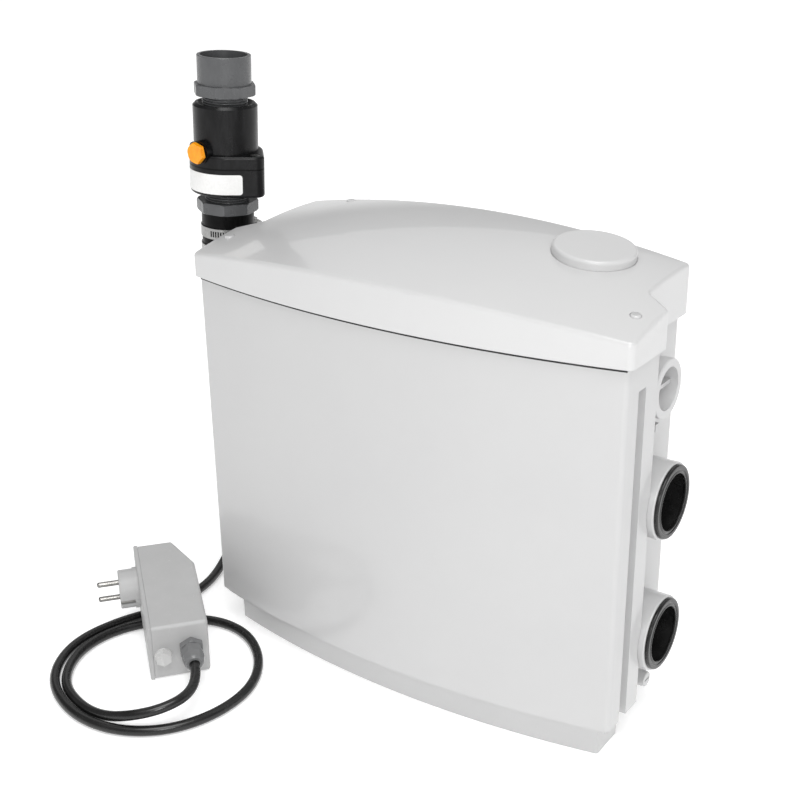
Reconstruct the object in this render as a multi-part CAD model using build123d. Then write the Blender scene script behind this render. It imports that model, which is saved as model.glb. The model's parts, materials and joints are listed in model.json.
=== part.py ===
from build123d import *
import math
import os

# A small floor-standing waste water lifting unit: a moulded tank with side inlets behind a bowed front cover,
# a crowned lid, a discharge stack with a non-return valve beside the lid, a submersible pump and a level float
# inside, and a plug-in control box on a lead.
# Millimetres. X runs across the front, Y from the front to the wall, Z up.
# The origin is on the floor, in the middle of the line between the front cover's two front corners.

# Front cover
cover_width = 400.0
cover_bow = 23.3
cover_bottom = 33.0
cover_top = 331.6
cover_depth = 48.4
cover_wall = 3.0
cover_corner = 5.0
lip_inset = 4.0
lip_wall = 2.5
top_lip_height = 5.4
bottom_lip_depth = 5.0
lip_root = 8.0
foot_flange_width = 14.0
foot_flange_thickness = 2.6
groove_start = 17.0
groove_width = 12.0
groove_depth = 9.0
groove_top = 311.0
notch_gap = 0.6

# Plinth under the cover
plinth_inset = 14.0
plinth_wall = 3.0
plinth_floor = 3.0
plinth_depth = 43.4
plinth_rear_inset = 13.5
plinth_rear_gap = 5.0
pad_radius = 9.0
pad_inset = 25.0
pad_margin = 17.0

# Tank
tank_side_gap = 21.5
tank_front = 14.0
tank_depth = 119.0
tank_bottom = 14.0
tank_top = 338.0
tank_wall = 4.0
tank_corner = 7.0
tank_edge = 5.0
rib_thickness = 3.0
rib_reach = 9.0
rib_gap = 0.6
rib_bottom = 48.0
rib_top = 300.0
gasket_thickness = 2.0
tank_lid_thickness = 4.0

# Side inlets for 50 mm pipes
inlet_y = 76.0
upper_inlet_z = 202.0
lower_inlet_z = 84.5
inlet_projection = 26.5
inlet_outer = 31.2
inlet_edge = 1.2
inlet_inner_length = 12.0
inlet_stop_bore = 23.0
inlet_stop_thickness = 3.0
seal_bore = 25.2
seal_flange_radius = 29.6
seal_flange_thickness = 3.0
seal_sleeve_wall = 3.2
seat_gap = 0.1

# Discharge ports, one in use on the left and one closed on the right
port_z = 293.0
port_projection = 15.5
port_outer = 23.4
port_bore = 19.3
port_flange = 3.0
blank_cup_depth = 13.0
peg_z = 260.0
peg_size = 6.0
peg_reach = 11.5

# Drain stub low on the right
drain_z = 37.0
drain_projection = 14.5
drain_outer = 6.7
drain_bore = 4.3
drain_head = 3.0
drain_plug_length = 13.0

# Lid
lid_overhang = 3.7
lid_bottom = 333.4
lid_wall = 3.0
lid_back = 136.5
lid_side_overhang = 4.1
step_start = 52.0
step_end = 64.0
lid_front_height = 367.4
lid_middle_height = 384.4
lid_middle_y = 51.0
lid_back_height = 389.5
crown_radius = 985.0
crown_depth = 120.0
crown_margin = 60.0
lid_edge = 3.6
screw_front_inset = 11.0
screw_front_y = 28.0
screw_back_inset = 43.5
screw_back_y = 127.0
lid_post_radius = 6.0
lid_boss_radius = 4.0
lid_boss_top = 350.0
lid_rear_boss_top = 362.0
screw_cap_radius = 4.2
screw_recess = 5.5
screw_head_radius = 3.6
screw_head_height = 2.4
screw_shank = 1.9
screw_length = 17.0

# Vent cap on the lid and the charcoal filter below it
cap_inset = 56.5
cap_y = 93.0
cap_radius = 32.7
cap_proud = 6.5
cap_seat_depth = 1.6
cap_gap = 0.5
cap_edge = 2.6
cap_wall = 2.5
spigot_radius = 27.0
spigot_length = 7.5
spigot_gap = 0.3
collar_wall = 2.5
collar_depth = 6.0
cap_travel = 25.0
filter_radius = 23.0
filter_height = 16.0
filter_gap = 0.4
basket_wall = 1.8
basket_height = 12.0
vent_hole = 14.0

# Pump, on the tank floor
pump_offset = 98.0
foot_radius = 44.0
foot_height = 18.0
foot_wall = 3.0
foot_top = 4.0
foot_slots = 8
foot_slot_width = 12.0
eye_radius = 16.0
volute_start = 29.0
volute_growth = 5.25
volute_wall = 3.4
volute_floor = 4.0
chamber_height = 26.0
volute_roof = 7.0
outlet_y = 35.0
outlet_start = 28.0
outlet_length = 54.0
pipe_outer = 16.0
pipe_bore = 13.5
pipe_bend = 26.0
socket_wall = 2.6
socket_overlap = 12.0
riser_inset = 50.5
impeller_radius = 26.5
impeller_plate = 2.5
impeller_hub = 9.0
impeller_blades = 6
blade_height = 13.0
blade_thickness = 2.4
impeller_gap = 1.2

# Motor
can_radius = 46.0
can_wall = 3.0
can_base = 8.0
can_height = 116.0
shaft_radius = 5.0
shaft_core_radius = 7.0
bearing_outer = 16.0
bearing_height = 9.0
bearing_wall = 4.0
running_gap = 0.05
press_gap = 0.02
seal_outer = 11.0
seal_lip = 0.08
stator_height = 60.0
stator_bore = 24.4
stator_gap = 0.1
winding_height = 10.0
winding_inset = 4.0
stator_lift = 24.0
air_gap = 0.4
cap_plate = 6.0
cap_dome = 5.0
lead_boss_radius = 8.0
lead_boss_height = 12.0
lead_boss_x = 25.0
lead_rise = 50.0
lead_run = 45.0
lead_bend = 24.0

# Level float on its stem
float_offset = 90.0
stem_radius = 4.0
stem_bottom_gap = 6.0
float_radius = 24.0
float_height = 44.0
float_wall = 2.0
float_clearance = 0.6
float_edge = 6.0
float_travel = 110.0
stop_radius = 8.0
stop_height = 4.0
stop_gap = 0.3
stem_head_radius = 9.0
stem_head_height = 5.0

# Discharge stack beside the lid; on its hose it leans a little towards the lid
stack_offset = 52.5
stack_lean = 2.9
stack_pivot = 437.0
elbow_outer = 19.0
elbow_bore = 15.5
elbow_bend = 33.0
elbow_insertion = 28.0
elbow_socket_depth = 16.0
elbow_tail_top = 346.0
hose_outer = 23.1
hose_bore = 19.15
hose_bottom = 328.0
hose_top = 369.8
clamp_height = 9.6
clamp_wall = 0.9
clamp_gap = 0.05
lower_clamp_z = 331.0
upper_clamp_z = 347.6
clamp_slots = 25
clamp_slot_width = 1.3
clamp_slot_start = -86.0
clamp_slot_pitch = 5.6
adapter_tail_bottom = 349.0
adapter_hex_bottom = 370.0
adapter_hex_top = 379.9
octagon_radius = 27.2
octagon_edge = 1.1
lower_octagon_turn = -8.7
upper_octagon_turn = -18.8
neck_radius = 18.8
thread_gap = 0.3
thread_length = 12.0
thread_pitch = 2.3
thread_depth = 0.6

# Non-return valve, turned about the stack's axis: a round flange with two lugs, each with a screw
valve_turn = 43.3
valve_bottom = 387.8
valve_seam = 412.6
valve_gasket_thickness = 1.2
flange_half = 32.0
lug_round = 8.0
flange_top = 424.0
flange_edge = 2.5
barrel_radius = 27.8
barrel_top = 464.7
barrel_edge = 2.2
mouth_radius = 24.0
mouth_depth = 4.5
parting_turn = 8.7
valve_cavity = 24.0
valve_passage = 15.8
cavity_floor = 404.0
cavity_roof = 448.0
seat_wall = 2.5
seat_height = 4.0
flap_turn = -135.0
flap_radius = 19.0
flap_thickness = 4.0
flap_gap = 0.3
hinge_offset = 19.0
hinge_z = 421.0
pin_radius = 2.0
knuckle_radius = 4.0
knuckle_width = 10.0
ear_thickness = 3.0
ear_gap = 0.4
lug_screw_offset = 24.0
lug_screw_radius = 2.2
lug_screw_head = 4.2
lug_screw_head_height = 2.6
lug_screw_sink = 2.8
lug_screw_end = 396.0
lift_turn = -135.0
lift_z = 425.8
lift_boss_radius = 10.0
lift_boss_start = 25.0
lift_boss_end = 32.8
lift_hex_width = 16.0
lift_hex_height = 4.4
lift_hex_turn = 15.0
lift_shank = 5.0
lift_shank_end = 23.5
lift_finger_radius = 1.8
lift_finger_offset = 3.0
lift_finger_length = 1.5
lift_ring_wall = 2.6
lift_ring_height = 1.3

# Grey adapter with the socket for a 40 mm rising pipe
socket_bore = 20.1
socket_outer = 23.0
socket_depth = 20.0
collar_bottom = 471.4
collar_top = 480.6
stack_top = 504.7

# Cable gland on the tank and on the control box
cord_radius = 4.3
gland_hex = 19.0
gland_hex_height = 6.0
gland_thread = 7.5
gland_nut_radius = 9.6
gland_nut_length = 18.0
gland_nut_end = 6.6
gland_bore = 4.6
gland_body_length = 12.0
tank_gland_y = 118.0
tank_gland_z = 300.0

# Plug-in control box
box_corner = (-182.0, -113.0)
box_yaw = -39.3
box_tilt = 6.3
box_length = 127.0
box_width = 51.5
box_height = 55.0
box_bevel_width = 16.5
box_bevel_length = 38.0
box_wall = 2.5
box_round = 3.0
back_thickness = 3.5
parting_gap = 0.2
back_lip = 2.0
box_gland = (36.0, 29.5)
blank_at = (12.0, 25.0)
blank_flange = 7.6
blank_flange_height = 1.5
blank_hex = 12.5
blank_hex_height = 5.0
blank_shank = 5.0
blank_length = 9.0
plug_x = -93.0
plug_z = 33.0
plug_radius = 17.6
plug_collar_radius = 18.6
plug_collar = 4.0
plug_length = 17.0
plug_groove = 5.0
plug_groove_depth = 2.4
plug_pin_radius = 2.4
plug_pin_spacing = 19.0
plug_pin_length = 19.0
plug_pin_root = 9.0
plug_pin_root_radius = 3.0
plug_turn = 11.0
clip_thickness = 1.0
clip_width = 4.0
clip_length = 13.0
board_thickness = 1.6
board_margin = 6.0
board_stand = 8.0
board_edge = 2.0
transformer_size = (28.0, 16.0, 31.0)
transformer_at = (6.0, 4.0)
relay_size = (16.0, 13.0, 18.0)
relay_at = (40.0, 5.0)
capacitor_at = (46.0, 32.0)
capacitor_pitch = 9.0
capacitor_radius = 3.6
capacitor_height = 11.0
stand_radius = 2.2
stand_inset = 3.0
box_screw_margin = 8.0
box_screw_radius = 1.6
box_screw_head = 3.2
box_screw_length = 22.0
box_post_radius = 4.5

# Worked out from the sizes above
cover_half = cover_width / 2
tank_half_width = cover_half - tank_side_gap
plinth_rear_half_width = tank_half_width - plinth_rear_inset
pad_x = plinth_rear_half_width - pad_inset
inlet_reach = tank_half_width + inlet_projection
port_reach = tank_half_width + port_projection
drain_reach = tank_half_width + drain_projection
lid_narrow_half_width = tank_half_width + lid_side_overhang
screw_front = (cover_half - screw_front_inset, screw_front_y)
screw_back = (screw_back_inset - tank_half_width, screw_back_y)
cap_x = tank_half_width - cap_inset
riser_x = riser_inset - tank_half_width
pump_x = riser_x + pump_offset
float_x = pump_x + float_offset
stack_x = -tank_half_width - stack_offset
elbow_inner_reach = port_reach - elbow_insertion
bow_radius = (cover_half**2 + cover_bow**2) / (2 * cover_bow)
bow_centre_y = bow_radius - cover_bow
tank_back = tank_front + tank_depth
tank_middle_y = tank_front + tank_depth / 2
tank_floor_z = tank_bottom + tank_wall
tank_lid_bottom = tank_top + gasket_thickness
tank_lid_top = tank_lid_bottom + tank_lid_thickness
pump_y = tank_middle_y
plinth_top = cover_bottom - bottom_lip_depth
groove_end = groove_start + groove_width
BOTTOM = (Align.CENTER, Align.CENTER, Align.MIN)


# Shapes used by many pieces
def block(x, y, z):
    """A block between the two values of each of x, y and z."""
    middle = [(low + high) / 2 for low, high in (x, y, z)]
    size = [high - low for low, high in (x, y, z)]
    return Pos(*middle) * Box(*size)


def rod(radius, low, high):
    """An upright cylinder between two heights."""
    return Pos(0, 0, low) * Cylinder(radius, high - low, align=BOTTOM)


def ring(outer, inner, low, high):
    """An upright tube between two heights."""
    return rod(outer, low, high) - rod(inner, low - 1, high + 1)


def turned(outline):
    """A solid of revolution about Z, from (radius, height) points."""
    points = [(radius, 0, height) for radius, height in outline]
    return revolve(make_face(Polyline(*points, close=True)), Axis.Z)


def prism(radius, sides, low, high, turn=0.0):
    """An upright prism whose corners lie at a radius."""
    plan = Pos(0, 0, low) * Rot(0, 0, turn) * RegularPolygon(radius, sides)
    return extrude(plan, high - low)


def hex_radius(width):
    """The corner radius of a hexagon from its width across flats."""
    return width / math.sqrt(3)


def to_side(side, height, y=inlet_y):
    """Turns a piece drawn upright so that its axis runs out of the tank's right or left side."""
    return Pos(0, y, height) * Rot(0, 90 * side, 0)


def solid_of(shape):
    """The single solid of a shape."""
    return shape.solids()[0]


# Plans that follow the bowed front
def front_y(x, inset):
    """How far forward the bowed face lies at x, for a face set in by inset."""
    return bow_centre_y - math.sqrt((bow_radius - inset) ** 2 - x**2)


def bowed_plan(inset, back, round_corners=0.0):
    """A plan with the bowed front, straight sides and a straight back."""
    half = cover_half - inset
    corner = front_y(half, inset)
    nose = front_y(0, inset)
    outline = ThreePointArc((-half, corner), (0, nose), (half, corner))
    outline += Polyline((half, corner), (half, back), (-half, back), (-half, corner))
    plan = make_face(outline)
    if round_corners > 0:
        front_corners = plan.vertices().sort_by(Axis.Y)[:2]
        plan = fillet(front_corners, round_corners)
    return plan


def bowed_band(inset, wall, back, low, high):
    """A wall that follows the bowed front and the sides, open at the back."""
    outer = bowed_plan(inset, back, max(cover_corner - inset, 1.0))
    inner = bowed_plan(inset + wall, back + 1, max(cover_corner - inset - wall, 0.6))
    return extrude(Pos(0, 0, low) * outer, high - low) - extrude(Pos(0, 0, low - 1) * inner, high - low + 2)


# The bowed front cover, with a lip at the top and bottom and a groove in each side return
def make_front_cover():
    shell = bowed_band(0, cover_wall, cover_depth, cover_bottom, cover_top)
    lip_overlap = cover_wall - 0.5
    lip_depth = lip_inset + lip_wall - lip_overlap
    shell += bowed_band(lip_overlap, lip_depth, cover_depth, cover_top - lip_root, cover_top)
    shell += bowed_band(lip_inset, lip_wall, cover_depth, cover_top - 1, cover_top + top_lip_height)
    shell += bowed_band(lip_overlap, lip_depth, groove_start, cover_bottom, cover_bottom + lip_root)
    shell += bowed_band(lip_inset, lip_wall, groove_start, plinth_top, cover_bottom + 1)
    shell += bowed_band(lip_inset, foot_flange_width, groove_start, plinth_top, plinth_top + foot_flange_thickness)
    groove_floor = cover_half - groove_depth
    for side in (-1, 1):
        ridge = block(
            sorted((side * (groove_floor - cover_wall), side * (cover_half - 1))),
            (groove_start - cover_wall, groove_end + cover_wall),
            (cover_bottom, groove_top + cover_wall),
        )
        shell += ridge
    for side in (-1, 1):
        shell -= block(
            sorted((side * groove_floor, side * (cover_half + 1))),
            (groove_start, groove_end),
            (plinth_top - 1, groove_top),
        )
        for height in (upper_inlet_z, lower_inlet_z):
            shell -= to_side(side, height) * rod(inlet_outer + notch_gap, cover_half - 20, cover_half + 1)
    return solid_of(shell)


# The plinth: a low tray that carries the tank's pads and the cover
def plinth_plan(inset):
    front = bowed_plan(plinth_inset + inset, plinth_depth - inset, 2.0)
    rear_half = plinth_rear_half_width - inset
    rear_back = tank_back - plinth_rear_gap - inset
    rear = Pos(0, (tank_front + rear_back) / 2) * Rectangle(2 * rear_half, rear_back - tank_front)
    return front + rear


def make_base_plinth():
    tray_top = tank_bottom - 0.5
    tray = extrude(plinth_plan(0), tray_top)
    tray -= extrude(Pos(0, 0, plinth_floor) * plinth_plan(plinth_wall), tray_top)
    tray += bowed_band(plinth_inset, plinth_wall, plinth_depth, tray_top - 1, plinth_top)
    return solid_of(tray)


def pad_places():
    rows = (tank_front + pad_margin, tank_back - pad_margin)
    return [(side * pad_x, row) for side in (-1, 1) for row in rows]


def make_tank_pads():
    return [Pos(x, y, 0) * rod(pad_radius, plinth_floor, tank_bottom) for x, y in pad_places()]


# The tank
def tank_plan(inset):
    width = 2 * (tank_half_width - inset)
    depth = tank_depth - 2 * inset
    return Pos(0, tank_middle_y) * RectangleRounded(width, depth, tank_corner - inset)


def tank_screw_places():
    reach_x = tank_half_width - tank_wall - 8.5
    reach_y = tank_depth / 2 - tank_wall - 8.0
    middle = [(0, tank_middle_y + side * reach_y) for side in (-1, 1)]
    corners = [(x, tank_middle_y + y) for x in (-reach_x, reach_x) for y in (-reach_y, reach_y)]
    return corners + middle


boss_radius = 5.0
boss_height = 22.0
boss_pilot = 2.3


def tank_screw_bosses():
    bosses = None
    for x, y in tank_screw_places():
        towards = 1 if y > tank_middle_y else -1
        wall_y = tank_middle_y + towards * (tank_depth / 2 - tank_wall / 2)
        boss = Pos(x, y, 0) * rod(boss_radius, tank_top - boss_height, tank_top)
        boss += block((x - 2, x + 2), sorted((y, wall_y)), (tank_top - boss_height, tank_top))
        boss -= Pos(x, y, 0) * rod(boss_pilot, tank_top - boss_height + 4, tank_top + 1)
        bosses = boss if bosses is None else bosses + boss
    return bosses


inlet_inner_end = tank_half_width - tank_wall - inlet_inner_length
seal_bottom = inlet_inner_end + inlet_stop_thickness + seat_gap


def inlet_solid():
    socket = rod(inlet_outer, inlet_inner_end, inlet_reach)
    return fillet(socket.edges().group_by(Axis.Z)[-1], inlet_edge)


def inlet_bore_cut():
    through = rod(inlet_stop_bore, inlet_inner_end - 1, inlet_reach + 1)
    seal_space = rod(seal_bore + seal_sleeve_wall + seat_gap, seal_bottom - seat_gap, inlet_reach + 1)
    return through + seal_space


def lid_screw_ear(side):
    x, y = screw_front
    ear = block(
        sorted((side * (tank_half_width - tank_wall), side * (x + lid_boss_radius))),
        (y - 6, y + 6),
        (cover_top - 10, cover_top + 2),
    )
    ear += Pos(side * x, y, 0) * rod(lid_boss_radius, cover_top - 10, lid_boss_top)
    ear -= Pos(side * x, y, 0) * rod(screw_shank + 0.1, cover_top - 5, lid_boss_top + 1)
    return ear


def make_sump_tank():
    tank = extrude(Pos(0, 0, tank_bottom) * tank_plan(0), tank_top - tank_bottom)
    tank = fillet(tank.edges().group_by(Axis.Z)[0], tank_edge)
    tank -= extrude(Pos(0, 0, tank_floor_z) * tank_plan(tank_wall), tank_top)
    for side in (-1, 1):
        for height in (upper_inlet_z, lower_inlet_z):
            tank += to_side(side, height) * inlet_solid()
        tank += to_side(side, port_z) * rod(port_outer, tank_half_width - tank_wall, port_reach)
        half_peg = peg_size / 2
        tank += block(
            sorted((side * (tank_half_width - 1), side * (tank_half_width + peg_reach))),
            (inlet_y - half_peg, inlet_y + half_peg),
            (peg_z - half_peg, peg_z + half_peg),
        )
        ridge_back = groove_end + cover_wall
        tank += block(
            sorted((side * (tank_half_width - 1), side * (tank_half_width + rib_reach))),
            (ridge_back + rib_gap, ridge_back + rib_gap + rib_thickness),
            (rib_bottom, rib_top),
        )
        tank += lid_screw_ear(side)
    tank += to_side(1, drain_z) * rod(drain_outer, tank_half_width - tank_wall, drain_reach)
    tank += tank_screw_bosses()
    for side in (-1, 1):
        for height in (upper_inlet_z, lower_inlet_z):
            tank -= to_side(side, height) * inlet_bore_cut()
        tank -= to_side(side, port_z) * rod(port_bore, tank_half_width - tank_wall - 1, port_reach + 1)
    tank -= to_side(1, drain_z) * rod(drain_bore, tank_half_width - tank_wall - 1, drain_reach + 1)
    gland_hole = gland_thread + 0.2
    tank -= to_side(-1, tank_gland_z, tank_gland_y) * rod(gland_hole, tank_half_width - 8, tank_half_width + 1)
    return solid_of(tank)


def make_inlet_seal():
    """A lip seal drawn along Z: a rounded flange on the socket's face and a long sleeve inside it."""
    flange_top_z = inlet_reach + seal_flange_thickness
    sleeve_radius = seal_bore + seal_sleeve_wall
    outline = [
        (seal_bore, seal_bottom),
        (sleeve_radius, seal_bottom),
        (sleeve_radius, inlet_reach),
        (seal_flange_radius, inlet_reach),
        (seal_flange_radius, flange_top_z),
        (seal_bore, flange_top_z),
    ]
    seal = turned(outline)
    return fillet(seal.edges().group_by(Axis.Z)[-1], seal_flange_thickness * 0.45)


def make_port_blank():
    """A cup that closes the unused port, with a grip bar across it, drawn along Z."""
    rim_top = port_reach + port_flange
    cup_radius = port_bore - 0.2
    cup_inner = cup_radius - 2.2
    cup_floor = rim_top - blank_cup_depth
    cup = rod(port_outer, port_reach, rim_top) + rod(cup_radius, cup_floor - 2.5, port_reach + 1)
    cup = fillet(cup.edges().group_by(Axis.Z)[-1], 1.2)
    cup -= rod(cup_inner, cup_floor, rim_top + 1)
    cup += block((-1.5, 1.5), (-cup_inner - 0.5, cup_inner + 0.5), (cup_floor - 1, rim_top - 6))
    return solid_of(cup)


def make_drain_plug():
    head_top = drain_reach + drain_head
    plug = rod(drain_outer - 0.4, drain_reach, head_top)
    plug = fillet(plug.edges().group_by(Axis.Z)[-1], 0.8)
    plug += rod(drain_bore - running_gap, drain_reach - drain_plug_length, drain_reach + 1)
    plug -= rod(drain_bore - 1.6, drain_reach - drain_plug_length - 1, head_top - 1.5)
    plug -= block((-0.8, 0.8), (-4, 4), (head_top - 1, head_top + 1))
    return solid_of(plug)


def make_tank_gasket():
    plan = tank_plan(0.4) - tank_plan(tank_wall - 0.4)
    return extrude(Pos(0, 0, tank_top) * plan, gasket_thickness)


def make_tank_cover():
    plate = extrude(Pos(0, 0, tank_lid_bottom) * tank_plan(0), tank_lid_thickness)
    basket_inner = filter_radius + filter_gap
    plate += Pos(cap_x, cap_y, 0) * rod(basket_inner + basket_wall, tank_lid_top - 1, tank_lid_top + basket_height)
    plate -= Pos(cap_x, cap_y, 0) * rod(basket_inner, tank_lid_top, tank_lid_top + basket_height + 1)
    plate -= Pos(cap_x, cap_y, 0) * rod(vent_hole, tank_lid_bottom - 1, tank_lid_top + 1)
    boss = rod(lid_boss_radius + 0.5, tank_lid_top - 1, lid_rear_boss_top)
    boss -= rod(screw_shank + 0.1, tank_lid_top, lid_rear_boss_top + 1)
    plate += Pos(*screw_back, 0) * boss
    for x, y in tank_screw_places():
        plate -= Pos(x, y, 0) * rod(boss_pilot + 0.3, tank_lid_bottom - 1, tank_lid_top + 1)
    plate -= Pos(float_x, tank_middle_y, 0) * rod(stem_radius + 0.2, tank_lid_bottom - 1, tank_lid_top + 1)
    return solid_of(plate)


def make_tank_cover_screws():
    screws = []
    for x, y in tank_screw_places():
        screw = rod(4.4, tank_lid_top, tank_lid_top + 2.6)
        screw = fillet(screw.edges().group_by(Axis.Z)[-1], 1.0)
        screw += rod(boss_pilot - 0.1, tank_top - boss_height + 6, tank_lid_top + 1)
        screws.append(Pos(x, y, 0) * screw)
    return screws


# The lid: one crowned surface, turned about an axis far below, over a stepped plan
def rise_circle():
    """Centre and radius of the arc that the lid's middle line follows from front to back."""
    front = (front_y(0, -lid_overhang), lid_front_height)
    middle = (lid_middle_y, lid_middle_height)
    back = (lid_back, lid_back_height)
    ax, az = front
    bx, bz = middle
    cx, cz = back
    d = 2 * (ax * (bz - cz) + bx * (cz - az) + cx * (az - bz))
    a2, b2, c2 = ax**2 + az**2, bx**2 + bz**2, cx**2 + cz**2
    y = (a2 * (bz - cz) + b2 * (cz - az) + c2 * (az - bz)) / d
    z = (a2 * (cx - bx) + b2 * (ax - cx) + c2 * (bx - ax)) / d
    return y, z, math.hypot(ax - y, az - z)


rise_y, rise_z, rise_radius = rise_circle()
crown_axis_z = lid_middle_height - crown_radius


def lid_height(x, y):
    """Height of the lid's top surface."""
    middle = rise_z + math.sqrt(rise_radius**2 - (y - rise_y) ** 2)
    return crown_axis_z + math.sqrt((middle - crown_axis_z) ** 2 - x**2)


def lid_normal(x, y):
    """Direction square to the lid's top surface."""
    step = 0.5
    slope_x = (lid_height(x + step, y) - lid_height(x - step, y)) / (2 * step)
    slope_y = (lid_height(x, y + step) - lid_height(x, y - step)) / (2 * step)
    return Vector(-slope_x, -slope_y, 1).normalized()


def crown_solid(lower):
    """Everything under the lid's top surface, lowered by a wall."""
    margin = 30.0
    start = front_y(0, -lid_overhang) - margin
    end = lid_back + margin
    radius = rise_radius - lower

    def on_arc(y):
        return (0, y, rise_z + math.sqrt(radius**2 - (y - rise_y) ** 2))

    base = lid_bottom - crown_depth
    arc = ThreePointArc(on_arc(start), on_arc((start + end) / 2), on_arc(end))
    sides = Polyline(on_arc(end), (0, end, base), (0, start, base), on_arc(start))
    section = make_face(arc + sides)
    sweep_angle = 2 * math.degrees(math.asin((cover_half + margin) / (crown_radius - crown_margin)))
    axis = Axis((0, 0, crown_axis_z), (0, 1, 0))
    return revolve(section.rotate(axis, -sweep_angle / 2), axis, sweep_angle)


def lid_plan(inset):
    half = cover_half + lid_overhang - inset
    narrow = lid_narrow_half_width - inset
    corner = front_y(half, inset - lid_overhang)
    nose = front_y(0, inset - lid_overhang)
    slope = math.hypot(step_end - step_start, half - narrow)
    shift = inset * (slope - (step_end - step_start)) / (half - narrow)
    start, end, back = step_start - shift, step_end - shift, lid_back - inset
    outline = ThreePointArc((-half, corner), (0, nose), (half, corner))
    outline += Polyline(
        (half, corner),
        (half, start),
        (narrow, end),
        (narrow, back),
        (-narrow, back),
        (-narrow, end),
        (-half, start),
        (-half, corner),
    )
    plan = make_face(outline)
    corners = plan.vertices()
    outer_step = [v for v in corners if abs(v.Y - start) < 0.01]
    inner_step = [v for v in corners if abs(v.Y - end) < 0.01]
    front = [v for v in corners if abs(v.Y - corner) < 0.01]
    rear = [v for v in corners if abs(v.Y - back) < 0.01]
    plan = fillet(front, max(cover_corner + 1 - inset, 1.0))
    plan = fillet(nearest(plan, outer_step), max(5.0 - inset, 1.0))
    plan = fillet(nearest(plan, inner_step), 6.0 + inset)
    return fillet(nearest(plan, rear), max(4.0 - inset, 1.0))


def nearest(plan, old):
    """The plan's corners that lie where the old ones did."""
    return [min(plan.vertices(), key=lambda v: math.hypot(v.X - o.X, v.Y - o.Y)) for o in old]


def lid_screw_places():
    front = [(side * screw_front[0], screw_front[1], lid_boss_top) for side in (-1, 1)]
    return front + [(*screw_back, lid_rear_boss_top)]


def cap_frame():
    """The vent cap's own frame, on the lid's surface and square to it."""
    origin = (cap_x, cap_y, lid_height(cap_x, cap_y))
    return Plane(origin=origin, x_dir=(1, 0, 0), z_dir=lid_normal(cap_x, cap_y)).location


def make_top_lid():
    top = lid_back_height + 10 - lid_bottom
    outer = extrude(Pos(0, 0, lid_bottom) * lid_plan(0), top) & crown_solid(0)
    outer = fillet(outer.faces().sort_by(Axis.Z)[-1].edges(), lid_edge)
    inner = extrude(Pos(0, 0, lid_bottom - 1) * lid_plan(lid_wall), top) & crown_solid(lid_wall)
    lid = outer - inner
    bore = spigot_radius + spigot_gap
    collar = cap_frame() * rod(bore + collar_wall, -lid_wall - collar_depth, -cap_seat_depth)
    lid += collar
    for x, y, boss_top in lid_screw_places():
        lid += (Pos(x, y, 0) * rod(lid_post_radius, boss_top + 0.2, lid_height(x, y) - 1)) & outer
    lid -= cap_frame() * rod(bore, -lid_wall - collar_depth - 3, 3)
    lid -= cap_frame() * rod(cap_radius + cap_gap, -cap_seat_depth, 6)
    for x, y, boss_top in lid_screw_places():
        surface = lid_height(x, y)
        lid -= Pos(x, y, 0) * rod(screw_cap_radius + 0.2, surface - screw_recess, surface + 4)
        lid -= Pos(x, y, 0) * rod(screw_shank + 0.3, boss_top - 1, surface)
    return solid_of(lid)


def make_lid_screws():
    screws = []
    for x, y, boss_top in lid_screw_places():
        seat = lid_height(x, y) - screw_recess
        screw = rod(screw_head_radius, seat, seat + screw_head_height)
        screw += rod(screw_shank, seat - screw_length, seat + 1)
        screws.append(Pos(x, y, 0) * screw)
    return screws


def make_lid_screw_caps():
    caps = []
    for x, y, boss_top in lid_screw_places():
        surface = lid_height(x, y)
        low = surface - screw_recess + screw_head_height + 0.2
        cap = rod(screw_cap_radius, low, surface + 0.9)
        cap = fillet(cap.edges().group_by(Axis.Z)[-1], 1.4)
        caps.append(Pos(x, y, 0) * cap)
    return caps


def make_vent_cap():
    low = -cap_seat_depth
    cap = rod(cap_radius, low, cap_proud)
    cap = fillet(cap.edges().group_by(Axis.Z)[-1], cap_edge)
    cap += rod(spigot_radius, low - spigot_length, low + 1)
    cap -= rod(spigot_radius - cap_wall, low - spigot_length - 1, cap_proud - cap_wall)
    return cap_frame() * cap


def make_charcoal_filter():
    body = Pos(cap_x, cap_y, 0) * rod(filter_radius, tank_lid_top, tank_lid_top + filter_height)
    return chamfer(body.edges().group_by(Axis.Z)[-1], 1.5)


# The pump
foot_bottom = tank_floor_z
casing_bottom = foot_bottom + foot_height
chamber_bottom = casing_bottom + volute_floor
chamber_top = chamber_bottom + chamber_height
casing_top = chamber_top + volute_roof
chamber_middle = (chamber_bottom + chamber_top) / 2
at_pump = Pos(pump_x, pump_y, 0)


def make_pump_base():
    foot = rod(foot_radius, foot_bottom, casing_bottom)
    foot -= rod(foot_radius - foot_wall, foot_bottom - 1, casing_bottom - foot_top)
    foot -= rod(eye_radius, foot_bottom, casing_bottom + 1)
    window = block(
        (foot_radius - 2 * foot_wall, foot_radius + 1),
        (-foot_slot_width / 2, foot_slot_width / 2),
        (foot_bottom - 1, casing_bottom - foot_top - 2),
    )
    for number in range(foot_slots):
        foot -= Rot(0, 0, 360 / foot_slots * number) * window
    return at_pump * solid_of(foot)


def volute_plan(extra):
    """A spiral of four quarter arcs, each wider than the last, closed across the throat."""
    r, g = volute_start + extra, volute_growth
    half = math.sqrt(0.5)
    spiral = ThreePointArc((0, r), (-r * half, r * half), (-r, 0))
    r2 = r + g
    spiral += ThreePointArc((-r, 0), (g - r2 * half, -r2 * half), (g, -r2))
    r3 = r + 2 * g
    spiral += ThreePointArc((g, -r2), (g + r3 * half, g - r3 * half), (g + r3, g))
    r4 = r + 3 * g
    spiral += ThreePointArc((g + r3, g), (r4 * half, g + r4 * half), (0, g + r4))
    spiral += Line((0, g + r4), (0, r))
    return make_face(spiral)


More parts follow.
